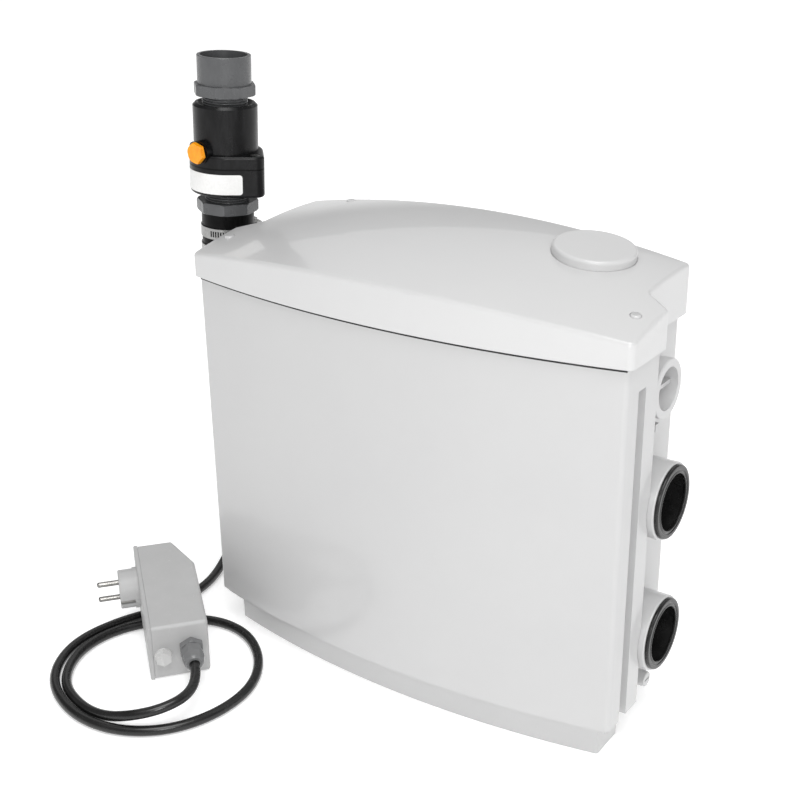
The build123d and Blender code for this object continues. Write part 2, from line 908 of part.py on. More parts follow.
def outlet_frame():
    """Turns an upright piece to run out of the throat, towards the left."""
    return Pos(0, outlet_y, chamber_middle) * Rot(0, -90, 0)


def make_pump_casing():
    casing = extrude(Pos(0, 0, casing_bottom) * volute_plan(volute_wall), casing_top - casing_bottom)
    throat_y = (volute_start, volute_start + 4 * volute_growth)
    throat_end = outlet_start + 4
    casing += block(
        (-throat_end, 1),
        (throat_y[0] - volute_wall, throat_y[1] + volute_wall),
        (casing_bottom, casing_top),
    )
    casing += outlet_frame() * rod(pipe_outer, outlet_start, outlet_length)
    casing -= extrude(Pos(0, 0, chamber_bottom) * volute_plan(0), chamber_height)
    casing -= block((-outlet_start, 1), throat_y, (chamber_bottom, chamber_top))
    casing -= outlet_frame() * rod(pipe_bore, outlet_start - 2, outlet_length + 1)
    casing -= rod(eye_radius, casing_bottom - 1, chamber_bottom + 1)
    casing -= rod(shaft_radius + 2.5, chamber_top - 1, casing_top + 1)
    return at_pump * solid_of(casing)


def blade():
    """One blade of the impeller, curved back from the hub to the rim."""
    inner, outer = impeller_hub - 1, impeller_radius - 0.5
    start = (inner, 0)
    end = (outer * math.cos(math.radians(50)), outer * math.sin(math.radians(50)))
    middle = ((inner + outer) * 0.42, outer * 0.24)
    line = ThreePointArc(start, middle, end)
    return trace(line, blade_thickness)


def make_impeller():
    low = chamber_bottom + impeller_gap
    plate_low = low + blade_height
    wheel = rod(impeller_radius, plate_low, plate_low + impeller_plate)
    for number in range(impeller_blades):
        wheel += extrude(Pos(0, 0, low) * Rot(0, 0, 360 / impeller_blades * number) * blade(), blade_height + 1)
    wheel += rod(impeller_hub, low, plate_low + impeller_plate + 2)
    wheel &= rod(impeller_radius, low - 1, plate_low + 20)
    wheel -= rod(shaft_radius + press_gap, low - 1, plate_low + 20)
    return at_pump * solid_of(wheel)


# The motor
can_bottom = casing_top
can_top = can_bottom + can_height
bearing_low = can_bottom + can_base
stator_low = can_bottom + stator_lift + can_base
stator_high = stator_low + stator_height
upper_bearing_low = can_top - bearing_height - 3
shaft_low = chamber_bottom + impeller_gap - 0.5
shaft_high = upper_bearing_low + bearing_height - 1


def make_motor_can():
    can = rod(can_radius, can_bottom, can_top)
    can -= rod(can_radius - can_wall, can_bottom + can_base, can_top + 1)
    can += rod(bearing_outer + bearing_wall, can_bottom + 1, bearing_low + bearing_height)
    can -= rod(bearing_outer + press_gap, bearing_low, bearing_low + bearing_height + 1)
    can -= rod(seal_outer + press_gap, can_bottom - 1, bearing_low + 1)
    return at_pump * solid_of(can)


def make_motor_cap():
    cap = rod(can_radius, can_top, can_top + cap_plate + cap_dome)
    cap = chamfer(cap.edges().group_by(Axis.Z)[-1], cap_dome, cap_dome)
    cap += rod(bearing_outer + bearing_wall, upper_bearing_low, can_top + 1)
    cap -= rod(bearing_outer + press_gap, upper_bearing_low - 1, upper_bearing_low + bearing_height)
    boss_low = can_top + cap_plate
    cap += Pos(lead_boss_x, 0, 0) * rod(lead_boss_radius, boss_low, boss_low + cap_dome + lead_boss_height)
    return at_pump * solid_of(cap)


def bearing(low):
    """A ball bearing drawn as one ring with a groove in each side."""
    race = ring(bearing_outer, shaft_radius + running_gap, low, low + bearing_height)
    groove = (shaft_radius + 3.5, bearing_outer - 3.5)
    race -= ring(groove[1], groove[0], low - 1, low + 1)
    race -= ring(groove[1], groove[0], low + bearing_height - 1, low + bearing_height + 1)
    return at_pump * solid_of(race)


def make_shaft_seal():
    body = ring(seal_outer, shaft_radius + seal_lip, can_bottom + 0.2, bearing_low - 0.2)
    return at_pump * solid_of(body)


def make_stator():
    core = ring(can_radius - can_wall - stator_gap, stator_bore, stator_low, stator_high)
    outer = can_radius - can_wall - winding_inset
    inner = stator_bore + winding_inset
    for low in (stator_low - winding_height, stator_high):
        turns = ring(outer, inner, low, low + winding_height)
        edges = turns.edges().group_by(Axis.Z)
        far = edges[0] if low < stator_low else edges[-1]
        core += fillet(far, winding_height * 0.35)
    return at_pump * solid_of(core)


def make_rotor_core():
    core = ring(stator_bore - air_gap, shaft_core_radius + press_gap, stator_low + 1, stator_high - 1)
    return at_pump * solid_of(core)


def make_rotor_shaft():
    core_low = bearing_low + bearing_height + 2
    core_high = upper_bearing_low - 2
    outline = [
        (0, shaft_low),
        (shaft_radius, shaft_low),
        (shaft_radius, core_low),
        (shaft_core_radius, core_low),
        (shaft_core_radius, core_high),
        (shaft_radius, core_high),
        (shaft_radius, shaft_high),
        (0, shaft_high),
    ]
    return at_pump * turned(outline)


# The riser inside the tank, from the pump's outlet to the elbow in the left port
outlet_end_x = pump_x - outlet_length
riser_y = pump_y + outlet_y
riser_end_x = -(elbow_inner_reach + elbow_socket_depth - 0.5)


def make_riser_pipe():
    line = FilletPolyline(
        (outlet_end_x, riser_y, chamber_middle),
        (riser_x, riser_y, chamber_middle),
        (riser_x, inlet_y, port_z),
        (riser_end_x, inlet_y, port_z),
        radius=pipe_bend,
    )
    end = Plane(origin=line @ 0, z_dir=line % 0)
    pipe = sweep(end * Circle(pipe_outer), line)
    pipe -= sweep(end * Circle(pipe_bore), line)
    sleeve = ring(pipe_outer + socket_wall, pipe_outer + 0.1, outlet_length - socket_overlap, outlet_length)
    shoulder = ring(pipe_outer + socket_wall, pipe_bore, outlet_length, outlet_length + 3)
    pipe += at_pump * outlet_frame() * (sleeve + shoulder)
    return solid_of(pipe)


# The level float and its stem
def make_float_stem():
    low = tank_floor_z + stem_bottom_gap
    stem = rod(stem_radius, low, tank_lid_top + 1)
    stem += rod(stop_radius, low, low + stop_height)
    upper = low + stop_height + float_height + float_travel + 2 * stop_gap
    stem += rod(stop_radius, upper, upper + stop_height)
    stem += rod(stem_head_radius, tank_lid_top, tank_lid_top + stem_head_height)
    return Pos(float_x, tank_middle_y, 0) * solid_of(stem)


def make_level_float():
    low = tank_floor_z + stem_bottom_gap + stop_height + stop_gap
    high = low + float_height
    body = rod(float_radius, low, high)
    body = fillet(body.edges(), float_edge)
    body -= rod(stem_radius + float_clearance, low - 1, high + 1)
    hollow_inner = stem_radius + float_clearance + float_wall
    body -= ring(float_radius - float_wall, hollow_inner, low + float_edge, high - float_edge)
    return Pos(float_x, tank_middle_y, 0) * body


# The discharge stack
at_stack = Pos(stack_x, inlet_y, stack_pivot) * Rot(0, stack_lean, 0) * Pos(0, 0, -stack_pivot)


def on_stack_axis(height):
    """The place on the leaning stack's axis at a height above the floor."""
    reach = (height - stack_pivot) * math.tan(math.radians(stack_lean))
    return (stack_x + reach, inlet_y, height)


def make_discharge_elbow():
    line = FilletPolyline(
        (-port_reach, inlet_y, port_z),
        on_stack_axis(port_z),
        on_stack_axis(elbow_tail_top),
        radius=elbow_bend,
    )
    start = Plane(origin=line @ 0, z_dir=line % 0)
    elbow = sweep(start * Circle(elbow_outer), line)
    elbow += to_side(-1, port_z) * rod(elbow_outer, elbow_inner_reach, port_reach + 1)
    elbow += to_side(-1, port_z) * rod(port_outer, port_reach, port_reach + port_flange)
    elbow -= sweep(start * Circle(elbow_bore), line)
    elbow -= to_side(-1, port_z) * rod(elbow_bore, elbow_inner_reach - 1, port_reach + 1)
    socket_end = elbow_inner_reach + elbow_socket_depth
    elbow -= to_side(-1, port_z) * rod(pipe_outer + 0.15, elbow_inner_reach - 1, socket_end)
    return solid_of(elbow)


def make_discharge_hose():
    return at_stack * ring(hose_outer, hose_bore, hose_bottom, hose_top)


def hose_clamp(low):
    """A slotted band with its screw housing at the back, and the screw beside it."""
    inner = hose_outer + clamp_gap
    outer = inner + clamp_wall
    high = low + clamp_height
    middle = (low + high) / 2
    band = ring(outer, inner, low, high)
    slot = block((inner - 1, outer + 1), (-clamp_slot_width / 2, clamp_slot_width / 2), (low + 2.2, high - 2.2))
    for number in range(clamp_slots):
        band -= Rot(0, 0, clamp_slot_start + clamp_slot_pitch * number) * slot
    screw_y = outer + 4.0
    band += block((-6.5, 6.5), (inner + 0.2, screw_y + 3.6), (low + 0.3, high - 0.3))
    band -= Pos(0, screw_y, middle) * Rot(0, 90, 0) * rod(2.9, -8, 8)
    screw = rod(2.7, -7.5, 8) + prism(hex_radius(7.0), 6, 8, 12)
    screw -= block((-0.5, 0.5), (-3.4, 3.4), (11, 13))
    return at_stack * solid_of(band), at_stack * Pos(0, screw_y, middle) * Rot(0, 90, 0) * solid_of(screw)


def octagon_collar(low, high, turn):
    collar = prism(octagon_radius, 8, low, high, turn)
    cone_low = rod(octagon_radius, low, high)
    cone_low = chamfer(cone_low.edges(), octagon_edge, octagon_edge)
    return collar & cone_low


def threaded_neck(low, high, first_groove):
    """A neck with rings of thread from one height up."""
    neck = rod(neck_radius, low, high)
    for number in range(3):
        groove = first_groove + thread_pitch * (number + 0.3)
        neck -= ring(neck_radius + 1, neck_radius - thread_depth, groove, groove + thread_pitch / 2)
    return neck


def make_hose_adapter():
    thread_top = valve_bottom + thread_length
    adapter = octagon_collar(adapter_hex_bottom, adapter_hex_top, lower_octagon_turn)
    tail = turned(
        [
            (0, adapter_tail_bottom),
            (hose_bore - 1.2, adapter_tail_bottom),
            (hose_bore - 0.05, adapter_tail_bottom + 3),
            (hose_bore - 0.05, adapter_hex_bottom + 1),
            (0, adapter_hex_bottom + 1),
        ]
    )
    adapter += tail
    adapter += threaded_neck(adapter_hex_top - 1, thread_top, adapter_hex_top)
    adapter -= rod(elbow_bore, adapter_tail_bottom - 1, thread_top + 1)
    return at_stack * solid_of(adapter)


def flange_plan():
    """A round flange with a square lug at its front right and its rear left."""
    plan = Circle(flange_half)
    for turn in (0, 180):
        corners = ((0, 0), (flange_half, 0), (flange_half, -flange_half), (0, -flange_half))
        lug = make_face(Polyline(*corners, close=True))
        tip = [v for v in lug.vertices() if v.X > 1 and v.Y < -1]
        plan += Rot(0, 0, turn) * fillet(tip, lug_round)
    return plan


def lug_screw_places():
    return [(side * lug_screw_offset, -side * lug_screw_offset) for side in (-1, 1)]


at_valve = at_stack * Rot(0, 0, valve_turn)
at_flap = Rot(0, 0, flap_turn)
lower_top = valve_seam - valve_gasket_thickness / 2
upper_bottom = valve_seam + valve_gasket_thickness / 2
hinge_frame = at_flap * Pos(-hinge_offset, 0, hinge_z) * Rot(90, 0, 0)
lift_frame = Rot(0, 0, lift_turn) * Pos(0, 0, lift_z) * Rot(0, 90, 0)


def make_valve_lower_body():
    body = extrude(Pos(0, 0, valve_bottom) * flange_plan(), lower_top - valve_bottom)
    body = fillet(body.edges().group_by(Axis.Z)[0], flange_edge)
    body -= rod(neck_radius + thread_gap, valve_bottom - 1, valve_bottom + thread_length + 1)
    body -= rod(valve_passage, valve_bottom, lower_top + 1)
    body -= ring(valve_cavity, valve_passage + seat_wall, cavity_floor, lower_top + 1)
    body -= rod(valve_passage + seat_wall + 1, cavity_floor + seat_height, lower_top + 1)
    for x, y in lug_screw_places():
        body -= Pos(x, y, 0) * rod(lug_screw_radius + 0.05, lug_screw_end - 1, lower_top + 1)
    return at_valve * solid_of(body)


def make_valve_gasket():
    plate = extrude(Pos(0, 0, lower_top) * flange_plan(), valve_gasket_thickness)
    plate -= rod(valve_cavity + 0.4, lower_top - 1, upper_bottom + 1)
    for x, y in lug_screw_places():
        plate -= Pos(x, y, 0) * rod(lug_screw_radius + 0.3, lower_top - 1, upper_bottom + 1)
    return at_valve * solid_of(plate)


def hinge_ears():
    """The two ears that hold the flap's pin, on the wall of the valve's cavity."""
    start = knuckle_width / 2 + ear_gap
    ears = None
    for side in (-1, 1):
        span = sorted((side * start, side * (start + ear_thickness)))
        reach = (-valve_cavity - 1, -hinge_offset)
        ear = at_flap * block(reach, span, (hinge_z - knuckle_radius, hinge_z + knuckle_radius))
        ear += hinge_frame * rod(knuckle_radius, *span)
        ears = ear if ears is None else ears + ear
    return ears & rod(valve_cavity + 1, upper_bottom, cavity_roof)


def make_valve_upper_body():
    body = extrude(Pos(0, 0, upper_bottom) * flange_plan(), flange_top - upper_bottom)
    body = fillet(body.edges().group_by(Axis.Z)[-1], flange_edge)
    barrel = rod(barrel_radius, upper_bottom + 1, barrel_top)
    body += chamfer(barrel.edges().group_by(Axis.Z)[-1], barrel_edge)
    seam = block((-1.2, 1.2), (-1.2, 1), (flange_top - 1, barrel_top - 3))
    body += Rot(0, 0, parting_turn) * Pos(0, -barrel_radius + 0.8, 0) * seam
    boss = lift_frame * rod(lift_boss_radius, lift_boss_start, lift_boss_end)
    body += boss
    body -= rod(valve_cavity, upper_bottom - 1, cavity_roof)
    body -= rod(neck_radius + thread_gap, cavity_roof - 1, barrel_top + 1)
    mouth_base = barrel_top - mouth_depth
    body -= turned(
        [
            (0, mouth_base),
            (neck_radius + thread_gap, mouth_base),
            (mouth_radius, barrel_top),
            (mouth_radius, barrel_top + 1),
            (0, barrel_top + 1),
        ]
    )
    body += hinge_ears()
    pin_reach = knuckle_width / 2 + ear_gap + ear_thickness + 1
    body -= hinge_frame * rod(pin_radius + 0.02, -pin_reach, pin_reach)
    body -= lift_frame * rod(lift_shank + 0.1, lift_shank_end - 1, lift_boss_end + 1)
    for x, y in lug_screw_places():
        body -= Pos(x, y, 0) * rod(lug_screw_radius + 0.3, upper_bottom - 1, flange_top + 1)
        body -= Pos(x, y, 0) * rod(lug_screw_head + 0.3, flange_top - lug_screw_sink, flange_top + 1)
    return at_valve * solid_of(body)


def make_valve_screws():
    screws = []
    for x, y in lug_screw_places():
        seat = flange_top - lug_screw_sink
        screw = rod(lug_screw_head, seat, seat + lug_screw_head_height)
        screw += rod(lug_screw_radius, lug_screw_end, seat + 1)
        socket_bottom = seat + lug_screw_head_height - 1.6
        screw -= prism(hex_radius(3.0), 6, socket_bottom, seat + lug_screw_head_height + 1)
        screws.append(at_valve * Pos(x, y, 0) * solid_of(screw))
    return screws


def make_valve_flap():
    low = cavity_floor + seat_height + flap_gap
    top = low + flap_thickness
    flap = rod(flap_radius, low, top)
    flap = chamfer(flap.edges(), 0.6)
    half = knuckle_width / 2
    arm = block((-hinge_offset, 6), (-half, half), (top - 1, top + 2.5))
    arm += block((-hinge_offset - 2.5, -hinge_offset + 2.5), (-half, half), (top, hinge_z))
    flap = at_flap * (flap + arm) + hinge_frame * rod(knuckle_radius, -half, half)
    flap -= hinge_frame * rod(pin_radius + running_gap, -half - 1, half + 1)
    return at_valve * solid_of(flap)


def make_flap_pin():
    reach = knuckle_width / 2 + ear_gap + ear_thickness
    return at_valve * hinge_frame * rod(pin_radius, -reach, reach)


lift_seat = lift_boss_end + lift_ring_height


def make_lifting_screw():
    top = lift_seat + lift_hex_height
    head = prism(hex_radius(lift_hex_width), 6, lift_seat, top, lift_hex_turn)
    rounding = rod(hex_radius(lift_hex_width), lift_seat, top)
    head &= chamfer(rounding.edges().group_by(Axis.Z)[-1], 1.0)
    screw = head + rod(lift_shank, lift_shank_end, lift_seat + 1)
    finger = rod(lift_finger_radius, lift_shank_end - lift_finger_length, lift_shank_end + 1)
    screw += Pos(lift_finger_offset, 0, 0) * finger
    return at_valve * lift_frame * solid_of(screw)


def make_lifting_ring():
    inner = lift_shank + 0.1
    body = ring(inner + lift_ring_wall, inner, lift_boss_end, lift_seat - 0.05)
    return at_valve * lift_frame * body


def make_pipe_adapter():
    thread_bottom = barrel_top - thread_length
    adapter = octagon_collar(collar_bottom, collar_top, upper_octagon_turn)
    adapter += threaded_neck(thread_bottom, collar_bottom + 1, barrel_top - thread_pitch / 2)
    adapter += rod(socket_outer, collar_top - 1, stack_top)
    adapter = chamfer(adapter.edges().filter_by(GeomType.CIRCLE).group_by(Axis.Z)[-1], 0.4)
    adapter -= rod(socket_bore, stack_top - socket_depth, stack_top + 1)
    adapter -= rod(valve_passage, thread_bottom - 1, stack_top)
    return at_stack * solid_of(adapter)


# Cable glands, drawn along Z from the wall's outer face
def gland_body():
    body = prism(hex_radius(gland_hex), 6, 0, gland_hex_height)
    rounding = rod(hex_radius(gland_hex), 0, gland_hex_height)
    body &= chamfer(rounding.edges().group_by(Axis.Z)[-1], 1.0)
    body += rod(gland_thread, -8, gland_hex_height + gland_body_length - 6)
    body -= rod(gland_bore, -9, gland_hex_height + gland_body_length)
    return solid_of(body)


def gland_nut():
    low = gland_hex_height + 0.1
    high = low + gland_nut_length
    nut = turned(
        [
            (0, low),
            (gland_nut_radius, low),
            (gland_nut_radius, low + gland_nut_length * 0.55),
            (gland_nut_end + 1.6, high - 2.0),
            (gland_nut_end, high),
            (0, high),
        ]
    )
    flats = prism(hex_radius(2 * gland_nut_radius - 1.4), 6, low, high, 15)
    nut &= flats + rod(gland_nut_radius, low + gland_nut_length * 0.5, high)
    nut -= rod(gland_thread + 0.15, low - 1, low + gland_body_length - 5.8)
    nut -= rod(gland_bore, low - 1, high + 1)
    return solid_of(nut)


gland_tip = gland_hex_height + 0.1 + gland_nut_length
at_tank_gland = to_side(-1, tank_gland_z, tank_gland_y) * Pos(0, 0, tank_half_width)


# The lead from the tank gland to the motor, inside the tank
def make_motor_lead():
    boss_top = can_top + cap_plate + cap_dome + lead_boss_height
    start_x = pump_x + lead_boss_x
    line = FilletPolyline(
        (start_x, pump_y, boss_top),
        (start_x, pump_y, boss_top + lead_rise),
        (start_x - lead_run, tank_gland_y, tank_gland_z),
        (-tank_half_width + 9, tank_gland_y, tank_gland_z),
        radius=lead_bend,
    )
    return sweep(Plane(origin=line @ 0, z_dir=line % 0) * Circle(cord_radius), line)


# The control box, drawn flat with its cabled end at x = 0 and its back at y = 0
at_box = Pos(box_corner[0], box_corner[1], 0) * Rot(0, 0, box_yaw) * Rot(0, box_tilt, 0)


def box_plan(inset, back):
    length, width = box_length - inset, box_width - inset
    bevel = math.hypot(box_bevel_width, box_bevel_length)
    shift_y = inset * (bevel - box_bevel_length) / box_bevel_width
    shift_x = inset * (bevel - box_bevel_width) / box_bevel_length
    return make_face(
        Polyline(
            (-inset, back),
            (-inset, width),
            (-box_length + box_bevel_length + shift_y, width),
            (-length, box_width - box_bevel_width - shift_x),
            (-length, back),
            close=True,
        )
    )


def box_screw_places():
    xs = (-box_screw_margin, -box_length + box_screw_margin)
    zs = (box_screw_margin, box_height - box_screw_margin)
    return [(x, z) for x in xs for z in zs]


def back_frame():
    """Turns an upright piece to run out of the box's back."""
    return Rot(90, 0, 0)


def end_frame(place):
    """Turns an upright piece to run out of the box's cabled end."""
    return Pos(0, place[0], place[1]) * Rot(0, 90, 0)


def make_control_box_shell():
    front = back_thickness + parting_gap
    shell = extrude(box_plan(0, front), box_height)
    far = [edge for edge in shell.edges() if edge.center().Y > front + 0.5]
    shell = fillet(far, box_round)
    hollow = extrude(Pos(0, 0, box_wall) * box_plan(box_wall, front - 1), box_height - 2 * box_wall)
    posts = None
    for x, z in box_screw_places():
        post = Pos(x, 0, z) * back_frame() * rod(box_post_radius, -box_screw_length - 6, -front - back_lip - 0.3)
        posts = post if posts is None else posts + post
    shell -= hollow
    shell += posts & extrude(box_plan(1, front), box_height)
    for x, z in box_screw_places():
        shell -= Pos(x, 0, z) * back_frame() * rod(box_screw_radius + 0.05, -box_screw_length - 1, 0)
    shell -= end_frame(box_gland) * rod(gland_thread + 0.2, -box_wall - 1, 1)
    shell -= end_frame(blank_at) * rod(blank_shank + 0.2, -box_wall - 1, 1)
    return at_box * solid_of(shell)


def make_control_box_back():
    plate = extrude(box_plan(0, 0), box_height)
    plate &= block((-box_length, 0), (0, back_thickness), (0, box_height))
    plate = fillet(plate.faces().sort_by(Axis.Y)[0].edges(), 1.2)
    lip = block(
        (-box_length + box_wall + 0.3, -box_wall - 0.3),
        (back_thickness - 0.5, back_thickness + back_lip),
        (box_wall + 0.3, box_height - box_wall - 0.3),
    )
    inner = block(
        (-box_length + box_wall + 2.3, -box_wall - 2.3),
        (back_thickness, back_thickness + back_lip + 1),
        (box_wall + 2.3, box_height - box_wall - 2.3),
    )
    plate += lip - inner
    for x, z in box_screw_places():
        plate -= Pos(x, 0, z) * back_frame() * rod(box_screw_radius + 0.2, -back_thickness - back_lip - 1, 1)
        plate -= Pos(x, 0, z) * back_frame() * rod(box_screw_head + 0.2, -1.8, 1)
    return at_box * solid_of(plate)


def make_control_box_screws():
    screws = []
    for x, z in box_screw_places():
        screw = rod(box_screw_head, -1.8, -0.1) + rod(box_screw_radius, -box_screw_length, -1)
        screws.append(at_box * Pos(x, 0, z) * back_frame() * solid_of(screw))
    return screws


at_plug = at_box * Pos(plug_x, 0, plug_z) * Rot(0, plug_turn, 0) * back_frame()


def make_mains_plug():
    body = rod(plug_radius, 0, plug_length)
    body = fillet(body.edges().group_by(Axis.Z)[-1], 1.2)
    body += rod(plug_collar_radius, 0, plug_collar)
    for side in (-1, 1):
        body -= block(
            sorted((side * (plug_radius - plug_groove_depth), side * (plug_radius + 3))),
            (-plug_groove / 2, plug_groove / 2),
            (plug_collar, plug_length + 1),
        )
    for side in (-1, 1):
        hole_low = plug_length - plug_pin_root - 0.2
        hole = rod(plug_pin_root_radius + 0.05, hole_low, plug_length + 1)
        body -= Pos(0, side * plug_pin_spacing / 2, 0) * hole
    return at_plug * solid_of(body)


def make_plug_pins():
    pins = []
    for side in (-1, 1):
        pin = rod(plug_pin_radius, plug_length - 1, plug_length + plug_pin_length)
        pin = fillet(pin.edges().group_by(Axis.Z)[-1], plug_pin_radius * 0.8)
        pin += rod(plug_pin_root_radius, plug_length - plug_pin_root, plug_length)
        pins.append(at_plug * Pos(0, side * plug_pin_spacing / 2, 0) * pin)
    return pins


def make_earth_clips():
    clips = []
    base = plug_radius - plug_groove_depth
    for side in (-1, 1):
        clip = block(
            sorted((side * base, side * (base + clip_thickness))),
            (-clip_width / 2, clip_width / 2),
            (plug_collar, plug_collar + clip_length),
        )
        clips.append(at_plug * clip)
    return clips


def make_blanking_plug():
    plug = rod(blank_flange, 0, blank_flange_height)
    plug += prism(hex_radius(blank_hex), 6, blank_flange_height - 0.5, blank_flange_height + blank_hex_height)
    plug += rod(blank_shank, -blank_length, 0.5)
    return at_box * end_frame(blank_at) * solid_of(plug)


def make_circuit_board():
    """The board on the back plate, with its transformer, relay and capacitors."""
    y = back_thickness + board_stand
    x = (-box_length + 2 * board_margin + box_screw_margin, -2 * board_margin - box_screw_margin)
    z = (board_margin + board_edge, box_height - board_margin - board_edge)
    board = block(x, (y, y + board_thickness), z)
    face = y + board_thickness
    for place, size in ((transformer_at, transformer_size), (relay_at, relay_size)):
        low_x, low_z = x[0] + place[0], z[0] + place[1]
        board += block((low_x, low_x + size[0]), (face, face + size[1]), (low_z, low_z + size[2]))
    for number in range(3):
        place = Pos(x[0] + capacitor_at[0] + capacitor_pitch * number, face, z[0] + capacitor_at[1])
        board += place * back_frame() * rod(capacitor_radius, -capacitor_height, 0)
    for corner_x in (x[0] + stand_inset, x[1] - stand_inset):
        for corner_z in (z[0] + stand_inset, z[1] - stand_inset):
            stand = back_frame() * rod(stand_radius, -y - 0.5, -back_thickness)
            board += Pos(corner_x, 0, corner_z) * stand
    return at_box * solid_of(board)


# The mains lead: from the tank gland down to the floor, under the control box and round twice to its gland
def at_point(location, height):
    """The place on a turned piece's axis at a height along it."""
    point = location * Pos(0, 0, height)
    return tuple(point.position)


cord_on_floor = cord_radius + 0.1
at_box_gland = at_box * end_frame(box_gland)
cord_points = [
    at_point(at_tank_gland, gland_tip),
    at_point(at_tank_gland, gland_tip + 36.0),
    (-272.0, 117.0, 270.0),
    (-276.0, 115.0, 226.0),
    (-273.0, 113.0, 176.0),
    (-271.0, 110.0, 122.0),
    (-271.0, 107.0, 70.0),
    (-268.0, 96.0, 28.0),
    (-260.8, 60.9, cord_on_floor),
    (-247.4, 21.4, cord_on_floor),
    (-250.7, -27.5, cord_on_floor),
    (-270.6, -66.6, cord_on_floor),
    (-277.9, -109.8, cord_on_floor),
    (-263.6, -146.8, cord_on_floor),
    (-236.9, -172.4, cord_on_floor),
    (-194.2, -187.8, cord_on_floor),
    (-151.4, -184.6, cord_on_floor),
    (-115.4, -160.9, cord_on_floor),
    (-96.7, -121.4, cord_on_floor),
    (-97.6, -76.0, cord_on_floor),
    (-122.4, -37.8, cord_on_floor),
    (-162.3, -13.7, cord_on_floor),
    (-206.1, -16.4, cord_on_floor),
    (-246.8, -50.9, cord_on_floor),
    (-265.3, -88.0, cord_on_floor),
    (-262.2, -127.2, cord_on_floor),
    (-236.8, -162.2, cord_on_floor),
    (-200.7, -176.0, cord_on_floor),
    (-170.8, -178.3, 6.9),
    (-142.0, -173.5, 15.7),
    (-122.4, -156.0, 20.1),
    (-115.8, -132.7, 22.7),
    at_point(at_box_gland, gland_tip + 15.2),
    at_point(at_box_gland, gland_tip),
]


def bend_radii(points):
    """The largest even arc for each corner of the route: 0.45 of the shorter run over tan of half the turn."""
    radii = []
    vectors = [Vector(*point) for point in points]
    for before, here, after in zip(vectors, vectors[1:], vectors[2:]):
        shorter = min((here - before).length, (after - here).length)
        turn = (here - before).get_angle(after - here)
        radii.append(0.45 * shorter / math.tan(math.radians(turn) / 2))
    return radii


def make_power_cord():
    radii = bend_radii(cord_points)
    line = FilletPolyline(*cord_points, radius=radii)
    cord = sweep(Plane(origin=line @ 0, z_dir=line % 0) * Circle(cord_radius), line)
    expected = math.pi * cord_radius**2 * line.length
    print("lead: length", round(line.length, 1), "radii", [round(radius) for radius in radii])
    print("lead: volume over section times length", round(cord.volume / expected, 5))
    return cord


def make_pieces():
    """Every piece of the unit, by node name."""
    upper_band, upper_screw = hose_clamp(upper_clamp_z)
    lower_band, lower_screw = hose_clamp(lower_clamp_z)
    pieces = {
        "front_cover": make_front_cover(),
        "base_plinth": make_base_plinth(),
        "tank_pads": make_tank_pads(),
        "sump_tank": make_sump_tank(),
        "tank_gasket": make_tank_gasket(),
        "tank_cover": make_tank_cover(),
        "tank_cover_screws": make_tank_cover_screws(),
        "top_lid": make_top_lid(),
        "lid_screws": make_lid_screws(),
        "lid_screw_caps": make_lid_screw_caps(),
        "vent_cap": make_vent_cap(),
        "charcoal_filter": make_charcoal_filter(),
        "port_blank": to_side(1, port_z) * make_port_blank(),
        "drain_plug": to_side(1, drain_z) * make_drain_plug(),
        "pump_base": make_pump_base(),
        "pump_casing": make_pump_casing(),
        "impeller": make_impeller(),
        "motor_can": make_motor_can(),
        "motor_cap": make_motor_cap(),
        "shaft_seal": make_shaft_seal(),
        "lower_bearing": bearing(bearing_low),
        "upper_bearing": bearing(upper_bearing_low),
        "stator": make_stator(),
        "rotor_core": make_rotor_core(),
        "rotor_shaft": make_rotor_shaft(),
        "riser_pipe": make_riser_pipe(),
        "motor_lead": make_motor_lead(),
        "float_stem": make_float_stem(),
        "level_float": make_level_float(),
        "discharge_elbow": make_discharge_elbow(),
        "discharge_hose": make_discharge_hose(),
        "upper_hose_clamp": upper_band,
        "upper_clamp_screw": upper_screw,
        "lower_hose_clamp": lower_band,
        "lower_clamp_screw": lower_screw,
        "hose_adapter": make_hose_adapter(),
        "valve_lower_body": make_valve_lower_body(),
        "valve_gasket": make_valve_gasket(),
        "valve_upper_body": make_valve_upper_body(),
        "valve_screws": make_valve_screws(),
        "valve_flap": make_valve_flap(),
        "flap_pin": make_flap_pin(),
        "lifting_screw": make_lifting_screw(),
        "lifting_screw_ring": make_lifting_ring(),
        "pipe_adapter": make_pipe_adapter(),
        "tank_gland": at_tank_gland * gland_body(),
        "tank_gland_nut": at_tank_gland * gland_nut(),
        "control_box_shell": make_control_box_shell(),
        "control_box_back": make_control_box_back(),
        "control_box_screws": make_control_box_screws(),
        "circuit_board": make_circuit_board(),
        "mains_plug": make_mains_plug(),
        "plug_contacts": make_plug_pins() + make_earth_clips(),
        "blanking_plug": make_blanking_plug(),
        "box_gland": at_box_gland * gland_body(),
        "box_gland_nut": at_box_gland * gland_nut(),
        "power_cord": make_power_cord(),
    }
    heights = {"upper": upper_inlet_z, "lower": lower_inlet_z}
    for level, height in heights.items():
        pieces[f"right_{level}_seal"] = to_side(1, height) * make_inlet_seal()
    pieces["left_seals"] = [to_side(-1, height) * make_inlet_seal() for height in heights.values()]
    return pieces


os.makedirs("parts", exist_ok=True)
for node, piece in make_pieces().items():
    shape = Compound(piece) if isinstance(piece, list) else piece
    export_step(shape, f"parts/{node}.step")
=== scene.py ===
import json
import math

import bmesh
import bpy
from mathutils import Matrix, Vector


